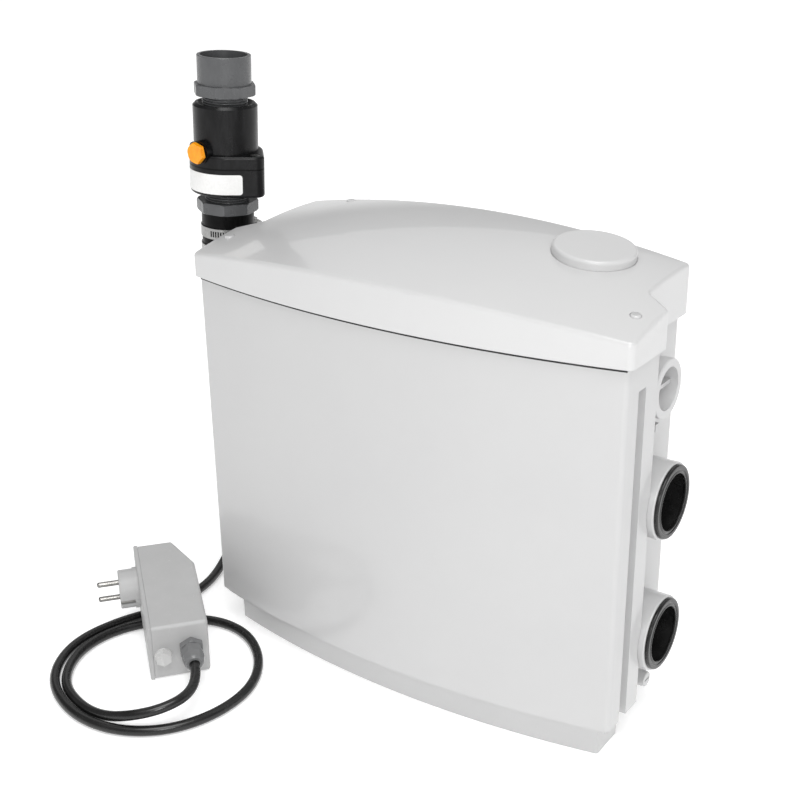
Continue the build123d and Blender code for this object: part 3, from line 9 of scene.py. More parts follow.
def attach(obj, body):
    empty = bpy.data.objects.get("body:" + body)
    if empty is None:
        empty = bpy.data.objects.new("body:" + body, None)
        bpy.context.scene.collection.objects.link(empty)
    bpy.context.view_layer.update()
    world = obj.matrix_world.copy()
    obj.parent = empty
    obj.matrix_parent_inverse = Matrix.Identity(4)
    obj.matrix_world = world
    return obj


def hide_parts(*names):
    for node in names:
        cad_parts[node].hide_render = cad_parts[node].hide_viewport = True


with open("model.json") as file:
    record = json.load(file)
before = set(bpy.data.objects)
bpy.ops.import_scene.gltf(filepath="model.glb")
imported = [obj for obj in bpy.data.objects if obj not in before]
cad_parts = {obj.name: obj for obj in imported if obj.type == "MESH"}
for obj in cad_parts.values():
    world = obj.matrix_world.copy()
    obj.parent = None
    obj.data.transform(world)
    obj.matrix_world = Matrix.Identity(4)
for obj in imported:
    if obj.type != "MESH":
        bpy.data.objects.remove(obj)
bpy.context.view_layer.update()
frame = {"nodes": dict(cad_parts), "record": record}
nodes = frame["nodes"]
slot_of = {part["node"]: part["material_slot"] for part in frame["record"]["subparts"]}

# Metres, in the row frame: X across the front, Y from the front to the wall, Z up


def placed(name, data):
    """A new object, linked into the scene."""
    thing = bpy.data.objects.new(name, data)
    bpy.context.scene.collection.objects.link(thing)
    return thing


def mesh_data(name, mesh):
    """Mesh data made from a bmesh, which is freed."""
    data = bpy.data.meshes.new(name)
    mesh.to_mesh(data)
    mesh.free()
    return data


def bridge(mesh, here, there):
    """Faces all the way round between two rings of corners."""
    for corner in range(len(here)):
        after = (corner + 1) % len(here)
        mesh.faces.new((here[corner], there[corner], there[after], here[after]))


def new_node(tree, kind, values=None):
    """A node with the given values in its input sockets."""
    node = tree.nodes.new(kind)
    for socket, value in (values or {}).items():
        node.inputs[socket].default_value = value
    return node


def map_range(tree, source, low, high, to_low, to_high):
    """The source's low to high as to_low to to_high, held at both ends."""
    ends = {"From Min": low, "From Max": high, "To Min": to_low, "To Max": to_high}
    span = new_node(tree, "ShaderNodeMapRange", ends)
    tree.links.new(source, span.inputs["Value"])
    return span.outputs["Result"]


# The camera, fitted to the photograph
CAMERA_PLACE = (0.54752, -0.75074, 0.64691)
CAMERA_TURN = (67.65, 0.0, 33.62)
CAMERA_LENS = 57.71
CAMERA_SENSOR = 36.0
CAMERA_SHIFT = -0.0562
CAMERA_REACH = 20.0


def make_camera():
    data = bpy.data.cameras.new("camera")
    data.lens = CAMERA_LENS
    data.sensor_width = CAMERA_SENSOR
    data.shift_x = CAMERA_SHIFT
    data.clip_end = CAMERA_REACH
    camera = placed("camera", data)
    camera.location = CAMERA_PLACE
    camera.rotation_euler = [math.radians(angle) for angle in CAMERA_TURN]
    bpy.context.scene.camera = camera


make_camera()


# The mains lead: from the tank's gland down to the floor, once round
# and back up into the control box's gland
LEAD_DIAMETER = 0.0086
LEAD_SPLINE_ORDER = 3
LEAD_STEPS_ALONG = 8
LEAD_STEPS_ROUND = 6
LEAD_ROUTE = [
    (-0.2026, 0.1180, 0.3000),
    (-0.2386, 0.1180, 0.3000),
    (-0.2720, 0.1170, 0.2700),
    (-0.2760, 0.1150, 0.2260),
    (-0.2730, 0.1130, 0.1760),
    (-0.2710, 0.1100, 0.1220),
    (-0.2710, 0.1070, 0.0700),
    (-0.2680, 0.0960, 0.0280),
    (-0.2608, 0.0609, 0.0044),
    (-0.2474, 0.0214, 0.0044),
    (-0.2507, -0.0275, 0.0044),
    (-0.2706, -0.0666, 0.0044),
    (-0.2779, -0.1098, 0.0044),
    (-0.2636, -0.1468, 0.0044),
    (-0.2369, -0.1724, 0.0044),
    (-0.1942, -0.1878, 0.0044),
    (-0.1514, -0.1846, 0.0044),
    (-0.1154, -0.1609, 0.0044),
    (-0.0967, -0.1214, 0.0044),
    (-0.0976, -0.0760, 0.0044),
    (-0.1224, -0.0378, 0.0044),
    (-0.1623, -0.0137, 0.0044),
    (-0.2061, -0.0164, 0.0044),
    (-0.2468, -0.0509, 0.0044),
    (-0.2653, -0.0880, 0.0044),
    (-0.2622, -0.1272, 0.0044),
    (-0.2368, -0.1622, 0.0044),
    (-0.2007, -0.1760, 0.0044),
    (-0.1708, -0.1783, 0.0069),
    (-0.1420, -0.1735, 0.0157),
    (-0.1224, -0.1560, 0.0201),
    (-0.1158, -0.1327, 0.0227),
    (-0.12647, -0.11194, 0.02501),
    (-0.13816, -0.10236, 0.02668),
]


def make_lead():
    data = bpy.data.curves.new("mains_lead", "CURVE")
    data.dimensions = "3D"
    data.bevel_depth = 1.0  # so that a point's radius is the lead's own
    data.bevel_resolution = LEAD_STEPS_ROUND
    data.resolution_u = LEAD_STEPS_ALONG
    spline = data.splines.new("NURBS")
    spline.points.add(len(LEAD_ROUTE) - 1)
    for point, place in zip(spline.points, LEAD_ROUTE):
        point.co = (*place, 1.0)
        point.radius = LEAD_DIAMETER / 2
    spline.order_u = LEAD_SPLINE_ORDER
    spline.use_endpoint_u = True
    lead = placed("mains_lead", data)
    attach(lead, "unit")
    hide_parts("power_cord")
    return lead


mains_lead = make_lead()


# The finishes, each a node material
def grey(value):
    return (value, value, value)


class Finish:
    """A node material with one Principled shader, built step by step."""

    def __init__(self, name):
        self.material = bpy.data.materials.new(name)
        self.material.use_nodes = True
        self.tree = self.material.node_tree
        self.link = self.tree.links.new
        self.shader = self.tree.nodes["Principled BSDF"]
        self.place = new_node(self.tree, "ShaderNodeTexCoord").outputs["Object"]
        self.normal = None

    def noise(self, scale, detail, roughness=0.55, distortion=0.0, stretch=None):
        """Clouded noise; stretch scales its coordinates, each axis by its own amount."""
        values = {
            "Scale": scale,
            "Detail": detail,
            "Roughness": roughness,
            "Distortion": distortion,
        }
        texture = new_node(self.tree, "ShaderNodeTexNoise", values)
        place = self.place
        if stretch is not None:
            mapping = new_node(self.tree, "ShaderNodeMapping", {"Scale": stretch})
            self.link(place, mapping.inputs["Vector"])
            place = mapping.outputs["Vector"]
        self.link(place, texture.inputs["Vector"])
        return texture.outputs["Fac"]

    def cells(self, scale):
        """Distance from the middle of the cell that a point is in."""
        texture = new_node(self.tree, "ShaderNodeTexVoronoi", {"Scale": scale})
        self.link(self.place, texture.inputs["Vector"])
        return texture.outputs["Distance"]

    def levels(self, source, low, high, to_low=0.0, to_high=1.0):
        return map_range(self.tree, source, low, high, to_low, to_high)

    def blend(self, amount, first, second):
        """Mix two colours; the first may be another node's output."""
        mix = new_node(self.tree, "ShaderNodeMix")
        mix.data_type = "RGBA"
        factor, first_colour, second_colour = mix.inputs[0], mix.inputs[6], mix.inputs[7]
        if isinstance(first, tuple):
            first_colour.default_value = (*first, 1.0)
        else:
            self.link(first, first_colour)
        second_colour.default_value = (*second, 1.0)
        self.link(amount, factor)
        return mix.outputs[2]

    def colour(self, source):
        self.link(source, self.shader.inputs["Base Color"])

    def roughness(self, source):
        self.link(source, self.shader.inputs["Roughness"])

    def relief(self, height, strength, depth):
        """One more layer of bumps, its depth in metres, over the layers before it."""
        layer = new_node(self.tree, "ShaderNodeBump", {"Strength": strength, "Distance": depth})
        self.link(height, layer.inputs["Height"])
        if self.normal is not None:
            self.link(self.normal, layer.inputs["Normal"])
        self.normal = layer.outputs["Normal"]
        self.link(self.normal, self.shader.inputs["Normal"])

    def fixed(self, values):
        """Set the shader's sockets that stay even over the whole surface."""
        for socket, value in values.items():
            self.shader.inputs[socket].default_value = value


def white_moulding(name, light, dark, gloss, coat):
    """Glossy white moulded plastic: faint clouding and a fine skin."""
    finish = Finish(name)
    clouds = finish.levels(finish.noise(scale=7.0, detail=5.0), 0.35, 0.65)
    finish.colour(finish.blend(clouds, dark, light))
    wiped = finish.noise(scale=12.0, detail=2.0, roughness=0.5, stretch=(1.0, 1.0, 0.5))
    finish.roughness(finish.levels(wiped, 0.1, 0.9, gloss - 0.05, gloss + 0.07))
    finish.relief(finish.noise(scale=5.0, detail=2.0), strength=0.05, depth=0.0012)
    finish.relief(finish.noise(scale=1400.0, detail=2.0), strength=0.05, depth=0.00005)
    finish.fixed({"Coat Weight": coat, "Coat Roughness": 0.05, "Specular IOR Level": 0.5})
    return finish.material


def black_moulding(name):
    """Black glass-filled plastic with swirl marks, polished patches and specks of dry dust."""
    finish = Finish(name)
    streaks = finish.noise(
        scale=85.0, detail=6.0, roughness=0.6, distortion=1.2, stretch=(1.0, 1.0, 0.3)
    )
    swirl = finish.levels(streaks, 0.42, 0.72)
    tone = finish.blend(swirl, (0.002, 0.002, 0.0024), (0.010, 0.010, 0.011))
    dust = finish.levels(finish.cells(scale=420.0), 0.03, 0.09, 0.30, 0.0)
    finish.colour(finish.blend(dust, tone, (0.07, 0.07, 0.068)))
    patches = finish.noise(scale=55.0, detail=5.0, roughness=0.65)
    finish.roughness(finish.levels(patches, 0.3, 0.7, 0.20, 0.42))
    finish.relief(finish.noise(scale=60.0, detail=3.0), strength=0.18, depth=0.0006)
    finish.relief(finish.noise(scale=1500.0, detail=2.0), strength=0.22, depth=0.00009)
    finish.fixed({"Coat Weight": 0.06, "Coat Roughness": 0.18, "Specular IOR Level": 0.22})
    return finish.material


def satin_plastic(name, base, spread, gloss):
    """Grey or pale plastic, satin, clouded by the spread and with handling marks."""
    finish = Finish(name)
    low = tuple(value * (1 - spread) for value in base)
    high = tuple(value * (1 + spread) for value in base)
    lighter = tuple(min(value * 1.7, 0.9) for value in base)
    clouds = finish.levels(finish.noise(scale=60.0, detail=6.0, roughness=0.62), 0.32, 0.68)
    tone = finish.blend(clouds, low, high)
    scratches = finish.noise(
        scale=240.0, detail=5.0, roughness=0.7, distortion=0.8, stretch=(1.0, 1.0, 0.2)
    )
    scuffs = finish.levels(scratches, 0.62, 0.74, 0.0, 0.30)
    finish.colour(finish.blend(scuffs, tone, lighter))
    handled = finish.noise(scale=70.0, detail=4.0)
    finish.roughness(finish.levels(handled, 0.3, 0.7, gloss - 0.06, gloss + 0.08))
    finish.relief(finish.noise(scale=900.0, detail=3.0), strength=0.25, depth=0.00012)
    finish.relief(finish.noise(scale=45.0, detail=2.0), strength=0.10, depth=0.0005)
    return finish.material


def soft_rubber(name, tone, gloss, grain, shine):
    """Black rubber: even, slightly bloomed, with a fine grain."""
    finish = Finish(name)
    bloom = finish.levels(finish.noise(scale=45.0, detail=6.0, roughness=0.6), 0.40, 0.75)
    finish.colour(finish.blend(bloom, grey(tone), grey(tone * 2.6)))
    worn = finish.noise(scale=130.0, detail=4.0)
    finish.roughness(finish.levels(worn, 0.3, 0.7, gloss - 0.03, gloss + 0.06))
    finish.relief(finish.noise(scale=grain, detail=3.0), strength=0.12, depth=0.00010)
    finish.fixed({"Sheen Weight": 0.01, "Sheen Roughness": 0.4, "Specular IOR Level": shine})
    return finish.material


def amber_plastic(name):
    """The amber lifting screw: clear bright colour, worn paler on its faces."""
    finish = Finish(name)
    wear = finish.levels(finish.noise(scale=160.0, detail=5.0, roughness=0.6), 0.42, 0.68)
    finish.colour(finish.blend(wear, (0.95, 0.32, 0.001), (1.0, 0.40, 0.002)))
    rubbed = finish.noise(scale=220.0, detail=4.0)
    finish.roughness(finish.levels(rubbed, 0.3, 0.7, 0.30, 0.46))
    finish.relief(finish.noise(scale=700.0, detail=3.0), strength=0.25, depth=0.0001)
    finish.fixed({"Subsurface Weight": 0.15, "Subsurface Scale": 0.002})
    return finish.material


def drawn_metal(name, tone, gloss, grain):
    """Rolled or turned metal, with fine drawing lines that the grain stretches."""
    finish = Finish(name)
    lines = finish.noise(scale=420.0, detail=4.0, roughness=0.6, stretch=grain)
    stains = finish.levels(finish.noise(scale=90.0, detail=5.0), 0.4, 0.7)
    dark = tuple(value * 0.72 for value in tone)
    finish.colour(finish.blend(stains, tone, dark))
    finish.roughness(finish.levels(lines, 0.3, 0.7, gloss - 0.07, gloss + 0.12))
    finish.relief(lines, strength=0.30, depth=0.00005)
    finish.fixed({"Metallic": 1.0})
    return finish.material


def paper_label(name):
    """A bare white label with a satin face."""
    finish = Finish(name)
    fibres = finish.levels(finish.noise(scale=500.0, detail=5.0, roughness=0.7), 0.3, 0.7)
    finish.colour(finish.blend(fibres, (0.80, 0.80, 0.79), (0.88, 0.88, 0.87)))
    pressed = finish.noise(scale=200.0, detail=3.0)
    finish.roughness(finish.levels(pressed, 0.3, 0.7, 0.34, 0.48))
    finish.relief(finish.noise(scale=1200.0, detail=3.0), strength=0.2, depth=0.00004)
    return finish.material


def carbon_foam(name):
    """Open black foam, with a fine pattern of cells."""
    finish = Finish(name)
    cells = finish.cells(scale=600.0)
    finish.colour(finish.blend(finish.levels(cells, 0.0, 0.8), grey(0.010), grey(0.05)))
    finish.roughness(finish.levels(cells, 0.0, 0.8, 0.75, 0.95))
    finish.relief(cells, strength=0.8, depth=0.0006)
    return finish.material


def board_lacquer(name):
    """Green lacquer over the faint ridges of a board's tracks."""
    finish = Finish(name)
    tracks = finish.noise(scale=260.0, detail=2.0, roughness=0.4, stretch=(1.0, 1.0, 0.25))
    ridges = finish.levels(tracks, 0.47, 0.53)
    finish.colour(finish.blend(ridges, (0.010, 0.10, 0.035), (0.02, 0.16, 0.06)))
    finish.roughness(finish.levels(tracks, 0.3, 0.7, 0.25, 0.40))
    finish.relief(ridges, strength=0.4, depth=0.00006)
    return finish.material


WHITE = white_moulding(
    "white_moulding", light=grey(0.540), dark=(0.524, 0.524, 0.526), gloss=0.30, coat=0.3
)
# A lighter copy of the white moulding for the lid and its caps: the extra lightness is painted
# light, standing in for light from above
LID_WHITE_PAINTED_LIGHT = white_moulding(
    "polished_lid_white_painted_light", light=grey(0.605), dark=(0.588, 0.588, 0.590), gloss=0.30, coat=0.5
)
SEAL_RUBBER = soft_rubber("inlet_seal_rubber", tone=0.008, gloss=0.24, grain=900.0, shine=0.4)
HOSE_RUBBER = soft_rubber("hose_rubber", tone=0.002, gloss=0.34, grain=900.0, shine=0.1)
LEAD_RUBBER = soft_rubber("lead_sheath", tone=0.004, gloss=0.24, grain=1100.0, shine=0.5)
# gap_shade is no rubber on the unit: a dark finish for the painted shadow in the lid's gap
GAP_SHADE = soft_rubber("gap_shade", tone=0.035, gloss=0.60, grain=900.0, shine=0.05)
PIPE_GREY = satin_plastic(
    "pressure_pipe_grey", base=(0.086, 0.088, 0.091), spread=0.10, gloss=0.28
)
GLAND_GREY = satin_plastic("gland_grey", base=(0.165, 0.167, 0.170), spread=0.06, gloss=0.22)
BOX_GREY = satin_plastic("control_box_grey", base=grey(0.425), spread=0.02, gloss=0.42)
PLUG_GREY = satin_plastic(
    "blanking_plug_grey", base=(0.555, 0.555, 0.550), spread=0.03, gloss=0.25
)
FLOAT_WHITE = satin_plastic("float_natural", base=(0.70, 0.70, 0.67), spread=0.03, gloss=0.45)
STAINLESS = drawn_metal(
    "rolled_stainless", tone=(0.37, 0.37, 0.366), gloss=0.28, grain=(1.0, 1.0, 9.0)
)
NICKEL = drawn_metal(
    "nickel_plate", tone=(0.27, 0.265, 0.255), gloss=0.16, grain=(1.0, 1.0, 3.0)
)
LAMINATIONS = drawn_metal(
    "varnished_laminations", tone=(0.20, 0.17, 0.15), gloss=0.45, grain=(1.0, 1.0, 14.0)
)

# The finish of each slot of the record
FINISHES = {
    "white_gloss": WHITE,
    "black_rubber": HOSE_RUBBER,
    "black_gloss": black_moulding("valve_black"),
    "grey_plastic": PIPE_GREY,
    "box_grey": BOX_GREY,
    "orange_plastic": amber_plastic("lifting_screw_amber"),
    "stainless": STAINLESS,
    "plated_brass": NICKEL,
    "pump_cast": black_moulding("pump_paint"),
    "laminations": LAMINATIONS,
    "lead_rubber": LEAD_RUBBER,
    "float_plastic": FLOAT_WHITE,
    "charcoal": carbon_foam("carbon_foam"),
    "board_green": board_lacquer("board_lacquer"),
}

# Pieces that look a little different from the rest of their slot
OWN_FINISHES = {
    # The lid and its caps take the lighter copy of the white: painted light
    "top_lid": LID_WHITE_PAINTED_LIGHT,
    "vent_cap": LID_WHITE_PAINTED_LIGHT,
    "lid_screw_caps": LID_WHITE_PAINTED_LIGHT,
    "right_upper_seal": SEAL_RUBBER,
    "right_lower_seal": SEAL_RUBBER,
    "left_seals": SEAL_RUBBER,
    "box_gland": GLAND_GREY,
    "box_gland_nut": GLAND_GREY,
    "tank_gland": GLAND_GREY,
    "tank_gland_nut": GLAND_GREY,
    "blanking_plug": PLUG_GREY,
}


def paint_nodes():
    for name, node in nodes.items():
        node.data.materials.clear()
        node.data.materials.append(OWN_FINISHES.get(name, FINISHES[slot_of[name]]))
    mains_lead.data.materials.append(LEAD_RUBBER)


paint_nodes()


# The soft lip at the mouth of each inlet seal, narrower than the sleeve behind it
SEAL_REACH = 0.208
SEAL_Y = 0.076
SEAL_HEIGHTS = {"upper": 0.202, "lower": 0.0845}
LIP_STEPS = 96
LIP_SECTION = [
    (0.02680, -0.00004),
    (0.02630, -0.00035),
    (0.02560, -0.00060),
    (0.02500, -0.00062),
    (0.02440, -0.00040),
    (0.02380, -0.00006),
    (0.02325, -0.00002),
    (0.02290, -0.00022),
    (0.02275, -0.00065),
    (0.02280, -0.00130),
    (0.02320, -0.00200),
    (0.02420, -0.00270),
    (0.02570, -0.00330),
    (0.02680, -0.00330),
]


def spun_piece(name, section, place):
    """A closed ring: its section of radii and heights, spun round the matrix's Z axis."""
    mesh = bmesh.new()
    rings = []
    for step in range(LIP_STEPS):
        angle = 2 * math.pi * step / LIP_STEPS
        corners = [Vector((r * math.cos(angle), r * math.sin(angle), h)) for r, h in section]
        rings.append([mesh.verts.new(place @ corner) for corner in corners])
    for step in range(LIP_STEPS):
        bridge(mesh, rings[step], rings[(step + 1) % LIP_STEPS])
    bmesh.ops.recalc_face_normals(mesh, faces=mesh.faces)
    for face in mesh.faces:
        face.smooth = True
    return placed(name, mesh_data(name, mesh))


def make_seal_lips():
    for side_name, side in (("right", 1), ("left", -1)):
        for level, height in SEAL_HEIGHTS.items():
            mouth = Matrix.Translation((side * SEAL_REACH, SEAL_Y, height))
            place = mouth @ Matrix.Rotation(side * math.pi / 2, 4, "Y")
            lip = spun_piece(f"{side_name}_{level}_seal_lip", LIP_SECTION, place)
            lip.data.materials.append(SEAL_RUBBER)
            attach(lip, "unit")


make_seal_lips()


# A thin dark strip of painted shadow: it stands for the shade deep in the gap between the
# lid's front edge and the curved top edge of the cover
COVER_HALF = 0.200
COVER_BOW = 0.0233
COVER_RADIUS = (COVER_HALF**2 + COVER_BOW**2) / (2 * COVER_BOW)
GAP_LOW = 0.33055
GAP_HIGH = 0.33160
GAP_REACH = 0.1984
GAP_STEPS = 64
GAP_FRONT = 0.00006
GAP_BACK = -0.0004
GAP_SECTION = [
    (GAP_FRONT, GAP_LOW),
    (GAP_FRONT, GAP_HIGH),
    (GAP_BACK, GAP_HIGH),
    (GAP_BACK, GAP_LOW),
]


def gap_corner(x, proud, z):
    """A point that far in front of the cover's face."""
    y = COVER_RADIUS - COVER_BOW - math.sqrt((COVER_RADIUS + proud) ** 2 - x**2)
    return (x, y, z)


def make_lid_gap_painted_shadow():
    mesh = bmesh.new()
    rings = []
    for step in range(GAP_STEPS + 1):
        x = GAP_REACH * (2 * step / GAP_STEPS - 1)
        rings.append([mesh.verts.new(gap_corner(x, proud, z)) for proud, z in GAP_SECTION])
    for before, after in zip(rings, rings[1:]):
        bridge(mesh, before, after)
    mesh.faces.new(rings[0])
    mesh.faces.new(rings[-1])
    bmesh.ops.recalc_face_normals(mesh, faces=mesh.faces)
    # The strip is painted shadow, not a part of the unit
    gap = placed("lid_gap_painted_shadow", mesh_data("lid_gap_painted_shadow", mesh))
    gap.data.materials.append(GAP_SHADE)
    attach(gap, "unit")


make_lid_gap_painted_shadow()


# The discharge stack leans a little, so the label and the threads on it are placed by a matrix
STACK_PIVOT = (-0.231, 0.076, 0.437)
STACK_LEAN = math.radians(2.9)
VALVE_TURN = math.radians(43.3)


def leaning_stack(turn=0.0):
    """From the upright stack, its axis on Z and its heights as they are, to the leaning one."""
    pivot = Matrix.Translation(STACK_PIVOT)
    lean = Matrix.Rotation(STACK_LEAN, 4, "Y")
    back = Matrix.Translation((0.0, 0.0, -STACK_PIVOT[2]))
    return pivot @ lean @ back @ Matrix.Rotation(turn, 4, "Z")


# The bare label round the front of the valve's lower half
FLANGE_HALF = 0.032
LABEL_LOW = 0.3909
LABEL_HIGH = 0.4083
LABEL_START = -0.056
LABEL_END = 0.0128
LABEL_STEPS = 56
LABEL_THICKNESS = 0.0002
LABEL_LIFT = 0.00005
LABEL_CORNER = 0.0026
CORNER_STEPS = 6
CORNER_DEEPEST = 0.98


def flange_edge(along):
    """Point and outward direction on the flange: an arc on the left, then flat to the lug."""
    if along >= 0:
        return Vector((along, -FLANGE_HALF)), Vector((0.0, -1.0))
    angle = -along / FLANGE_HALF
    outward = Vector((-math.sin(angle), -math.cos(angle)))
    return outward * FLANGE_HALF, outward


def corner_drop(along):
    """How far the label's edge is rounded off at a place along it."""
    inset = LABEL_CORNER - min(along - LABEL_START, LABEL_END - along)
    inset = min(max(inset, 0.0), LABEL_CORNER)
    drop = LABEL_CORNER - math.sqrt(LABEL_CORNER**2 - inset**2)
    return min(drop, LABEL_CORNER * CORNER_DEEPEST)


def label_stops():
    """Places along the label, closer together at its rounded ends."""
    turns = [math.pi / 2 * step / CORNER_STEPS for step in range(CORNER_STEPS + 1)]
    ends = [LABEL_CORNER * (1 - math.cos(turn)) for turn in turns]
    middle = LABEL_END - LABEL_START - 2 * LABEL_CORNER
    between = [LABEL_CORNER + middle * step / LABEL_STEPS for step in range(1, LABEL_STEPS)]
    far_end = [LABEL_END - LABEL_START - stop for stop in reversed(ends)]
    return [LABEL_START + stop for stop in ends + between + far_end]


def make_label():
    mesh = bmesh.new()
    place = leaning_stack(VALVE_TURN)
    rows = []
    for along in label_stops():
        edge, outward = flange_edge(along)
        x, y = edge + outward * LABEL_LIFT
        drop = corner_drop(along)
        heights = (LABEL_LOW + drop, LABEL_HIGH - drop)
        rows.append([mesh.verts.new(place @ Vector((x, y, height))) for height in heights])
    for before, after in zip(rows, rows[1:]):
        mesh.faces.new((before[0], after[0], after[1], before[1]))
    label = placed("valve_label", mesh_data("valve_label", mesh))
    thickness = label.modifiers.new("thickness", "SOLIDIFY")
    thickness.thickness = LABEL_THICKNESS
    thickness.offset = 1.0
    label.data.materials.append(paper_label("bare_label"))
    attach(label, "unit")


make_label()


# Screw threads on the necks of the two grey adapters, each a ridge on a helix
THREAD_PITCH = 0.0023
THREAD_RADIUS = 0.0188
THREAD_STEPS = 64
THREAD_RUNS = {"lower_neck_thread": (0.3799, 0.3874), "upper_neck_thread": (0.4610, 0.4716)}
RIDGE_HALF = 0.0009
RIDGE_SIDES = 4
RIDGE_TIP = 0.05
RIDGE_TAPER = 0.10


def thread_tree(material):
    """A helix with a ridge swept along it, thin at both ends."""
    tree = bpy.data.node_groups.new("screw_thread", "GeometryNodeTree")
    for label in ("Neck Radius", "Pitch", "Turns", "Ridge"):
        tree.interface.new_socket(name=label, in_out="INPUT", socket_type="NodeSocketFloat")
    tree.interface.new_socket(
        name="Geometry", in_out="OUTPUT", socket_type="NodeSocketGeometry"
    )
    given = new_node(tree, "NodeGroupInput")
    height = new_node(tree, "ShaderNodeMath")
    height.operation = "MULTIPLY"
    helix = new_node(tree, "GeometryNodeCurveSpiral", {"Resolution": THREAD_STEPS})
    along = new_node(tree, "GeometryNodeSplineParameter")
    fade = new_node(tree, "ShaderNodeFloatCurve")
    points = fade.mapping.curves[0].points
    points[0].location = (0.0, RIDGE_TIP)
    points[1].location = (1.0, RIDGE_TIP)
    points.new(RIDGE_TAPER, 1.0)
    points.new(1.0 - RIDGE_TAPER, 1.0)
    fade.mapping.update()
    taper = new_node(tree, "GeometryNodeSetCurveRadius")
    section = new_node(tree, "GeometryNodeCurvePrimitiveCircle", {"Resolution": RIDGE_SIDES})
    sweep = new_node(tree, "GeometryNodeCurveToMesh", {"Fill Caps": True})
    real = new_node(tree, "GeometryNodeRealizeInstances")
    paint = new_node(tree, "GeometryNodeSetMaterial", {"Material": material})
    result = new_node(tree, "NodeGroupOutput")
    for source, output, target, socket in (
        (given, "Pitch", height, 0),
        (given, "Turns", height, 1),
        (height, 0, helix, "Height"),
        (given, "Turns", helix, "Rotations"),
        (given, "Neck Radius", helix, "Start Radius"),
        (given, "Neck Radius", helix, "End Radius"),
        (helix, "Curve", taper, "Curve"),
        (along, "Factor", fade, "Value"),
        (fade, "Value", taper, "Radius"),
        (given, "Ridge", section, "Radius"),
        (taper, "Curve", sweep, "Curve"),
        (section, "Curve", sweep, "Profile Curve"),
        (sweep, "Mesh", real, "Geometry"),
        (real, "Geometry", paint, "Geometry"),
        (paint, "Geometry", result, "Geometry"),
    ):
        tree.links.new(source.outputs[output], target.inputs[socket])
    return tree


def grown(name, tree, values):
    """Run a Geometry Nodes tree once and keep its result as a plain mesh."""
    seed = placed(name + "_seed", bpy.data.meshes.new(name + "_seed"))
    modifier = seed.modifiers.new("nodes", "NODES")
    modifier.node_group = tree
    for item in tree.interface.items_tree:
        if item.in_out == "INPUT":
            modifier[item.identifier] = values[item.name]
    ready = seed.evaluated_get(bpy.context.evaluated_depsgraph_get())
    data = bpy.data.meshes.new_from_object(ready)
    data.name = name
    seed.modifiers.clear()
    bpy.data.objects.remove(seed)
    return data


def make_neck_threads():
    tree = thread_tree(PIPE_GREY)
    for name, (low, high) in THREAD_RUNS.items():
        sizes = {
            "Neck Radius": THREAD_RADIUS,
            "Pitch": THREAD_PITCH,
            "Turns": (high - low) / THREAD_PITCH,
            "Ridge": RIDGE_HALF,
        }
        data = grown(name, tree, sizes)
        data.transform(leaning_stack() @ Matrix.Translation((0.0, 0.0, low)))
        ridge = placed(name, data)
        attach(ridge, "unit")


make_neck_threads()


# The floor, which glows a little so that it stays white up to the horizon
FLOOR_HALF = 9.0
FLOOR_HEIGHT = -0.0002
FLOOR_GLOW = 0.36


def make_floor():
    mesh = bmesh.new()
    corners = [
        (side * FLOOR_HALF, end * FLOOR_HALF, FLOOR_HEIGHT)
        for side, end in ((-1, -1), (1, -1), (1, 1), (-1, 1))
    ]
    mesh.faces.new([mesh.verts.new(corner) for corner in corners])
    floor = placed("floor", mesh_data("floor", mesh))
    finish = Finish("pale_floor")
    shade = finish.levels(finish.noise(scale=3.0, detail=3.0), 0.3, 0.7)
    finish.colour(finish.blend(shade, grey(0.88), grey(0.90)))
    finish.roughness(finish.levels(finish.noise(scale=20.0, detail=3.0), 0.3, 0.7, 0.7, 0.8))
    finish.fixed({"Emission Color": (1.0, 1.0, 1.0, 1.0), "Emission Strength": FLOOR_GLOW})
    floor.data.materials.append(finish.material)


# The sky and the lights
SKY_BRIGHT_SIDE = (0.55, -0.50, 0.67)
SKY_AWAY = -0.3
SKY_DIM = 0.16
SKY_BRIGHT = 0.52
HORIZON_LOW = 0.10
HORIZON_HIGH = 0.24


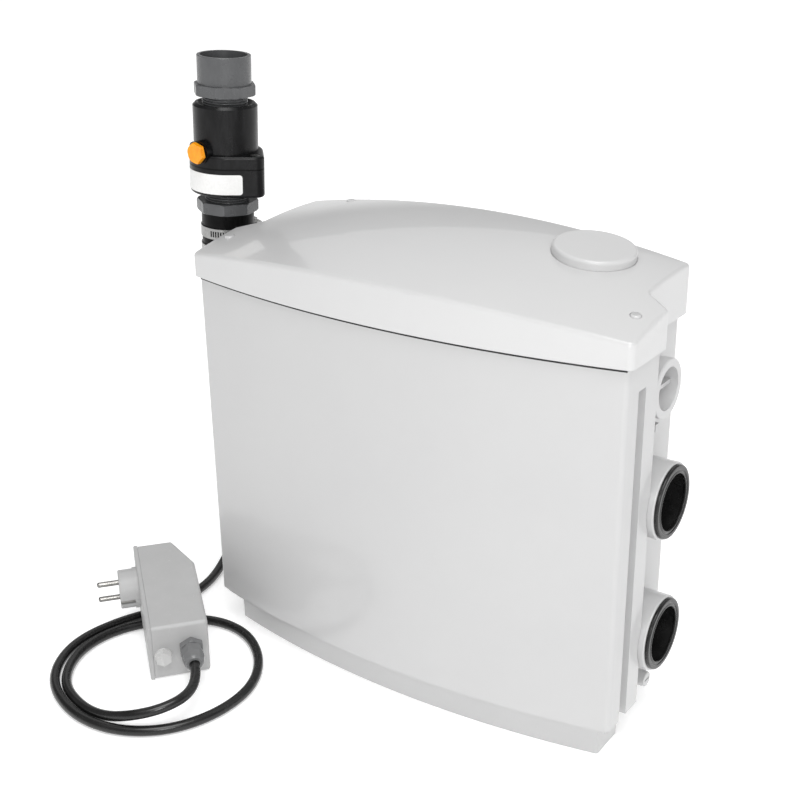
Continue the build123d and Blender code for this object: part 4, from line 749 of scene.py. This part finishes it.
def make_sky():
    """A studio dome: brightest high on the camera's side, dim behind, white near the floor."""
    world = bpy.data.worlds.new("studio")
    world.use_nodes = True
    tree = world.node_tree
    link = tree.links.new
    background = tree.nodes["Background"]
    background.inputs["Color"].default_value = (1.0, 1.0, 1.0, 1.0)
    place = new_node(tree, "ShaderNodeTexCoord").outputs["Generated"]
    toward = new_node(tree, "ShaderNodeVectorMath", {1: SKY_BRIGHT_SIDE})
    toward.operation = "DOT_PRODUCT"
    height = new_node(tree, "ShaderNodeSeparateXYZ")
    brighter = new_node(tree, "ShaderNodeMath")
    brighter.operation = "MAXIMUM"
    link(place, toward.inputs[0])
    link(place, height.inputs["Vector"])
    dome = map_range(tree, toward.outputs["Value"], SKY_AWAY, 1.0, SKY_DIM, SKY_BRIGHT)
    horizon = map_range(tree, height.outputs["Z"], HORIZON_LOW, HORIZON_HIGH, 1.0, 0.0)
    link(dome, brighter.inputs[0])
    link(horizon, brighter.inputs[1])
    link(brighter.outputs["Value"], background.inputs["Strength"])
    bpy.context.scene.world = world


def aimed(lamp, direction):
    lamp.rotation_euler = Vector(direction).to_track_quat("-Z", "Y").to_euler()


def make_key(name, azimuth, elevation, spread, strength):
    """A broad soft key light from far away, so that the floor is lit evenly."""
    data = bpy.data.lights.new(name, "SUN")
    data.energy = strength
    data.angle = math.radians(spread)
    turn, rise = math.radians(azimuth), math.radians(elevation)
    level = math.cos(rise)
    toward = Vector((level * math.cos(turn), level * math.sin(turn), math.sin(rise)))
    aimed(placed(name, data), -toward)


def make_softbox(name, place, aim, size, power):
    data = bpy.data.lights.new(name, "AREA")
    data.shape = "RECTANGLE"
    data.size, data.size_y = size
    data.energy = power
    lamp = placed(name, data)
    lamp.location = place
    aimed(lamp, Vector(aim) - Vector(place))


make_floor()
make_sky()
make_key("right_key", azimuth=-42.0, elevation=68.0, spread=35.0, strength=1.40)
make_softbox(
    "front_softbox", place=(0.76, -0.92, 0.74), aim=(0.0, 0.0, 0.2), size=(0.40, 0.40), power=5.0
)
make_softbox(
    "overhead_softbox",
    place=(-0.30, -0.95, 1.60),
    aim=(0.0, 0.0, 0.35),
    size=(1.3, 0.5),
    power=1.5,
)
make_softbox(
    "back_softbox", place=(-1.3, 1.8, 2.8), aim=(0.0, 0.0, 0.3), size=(4.0, 3.0), power=24.0
)
bpy.context.scene.view_settings.view_transform = "Standard"

bpy.context.view_layer.update()
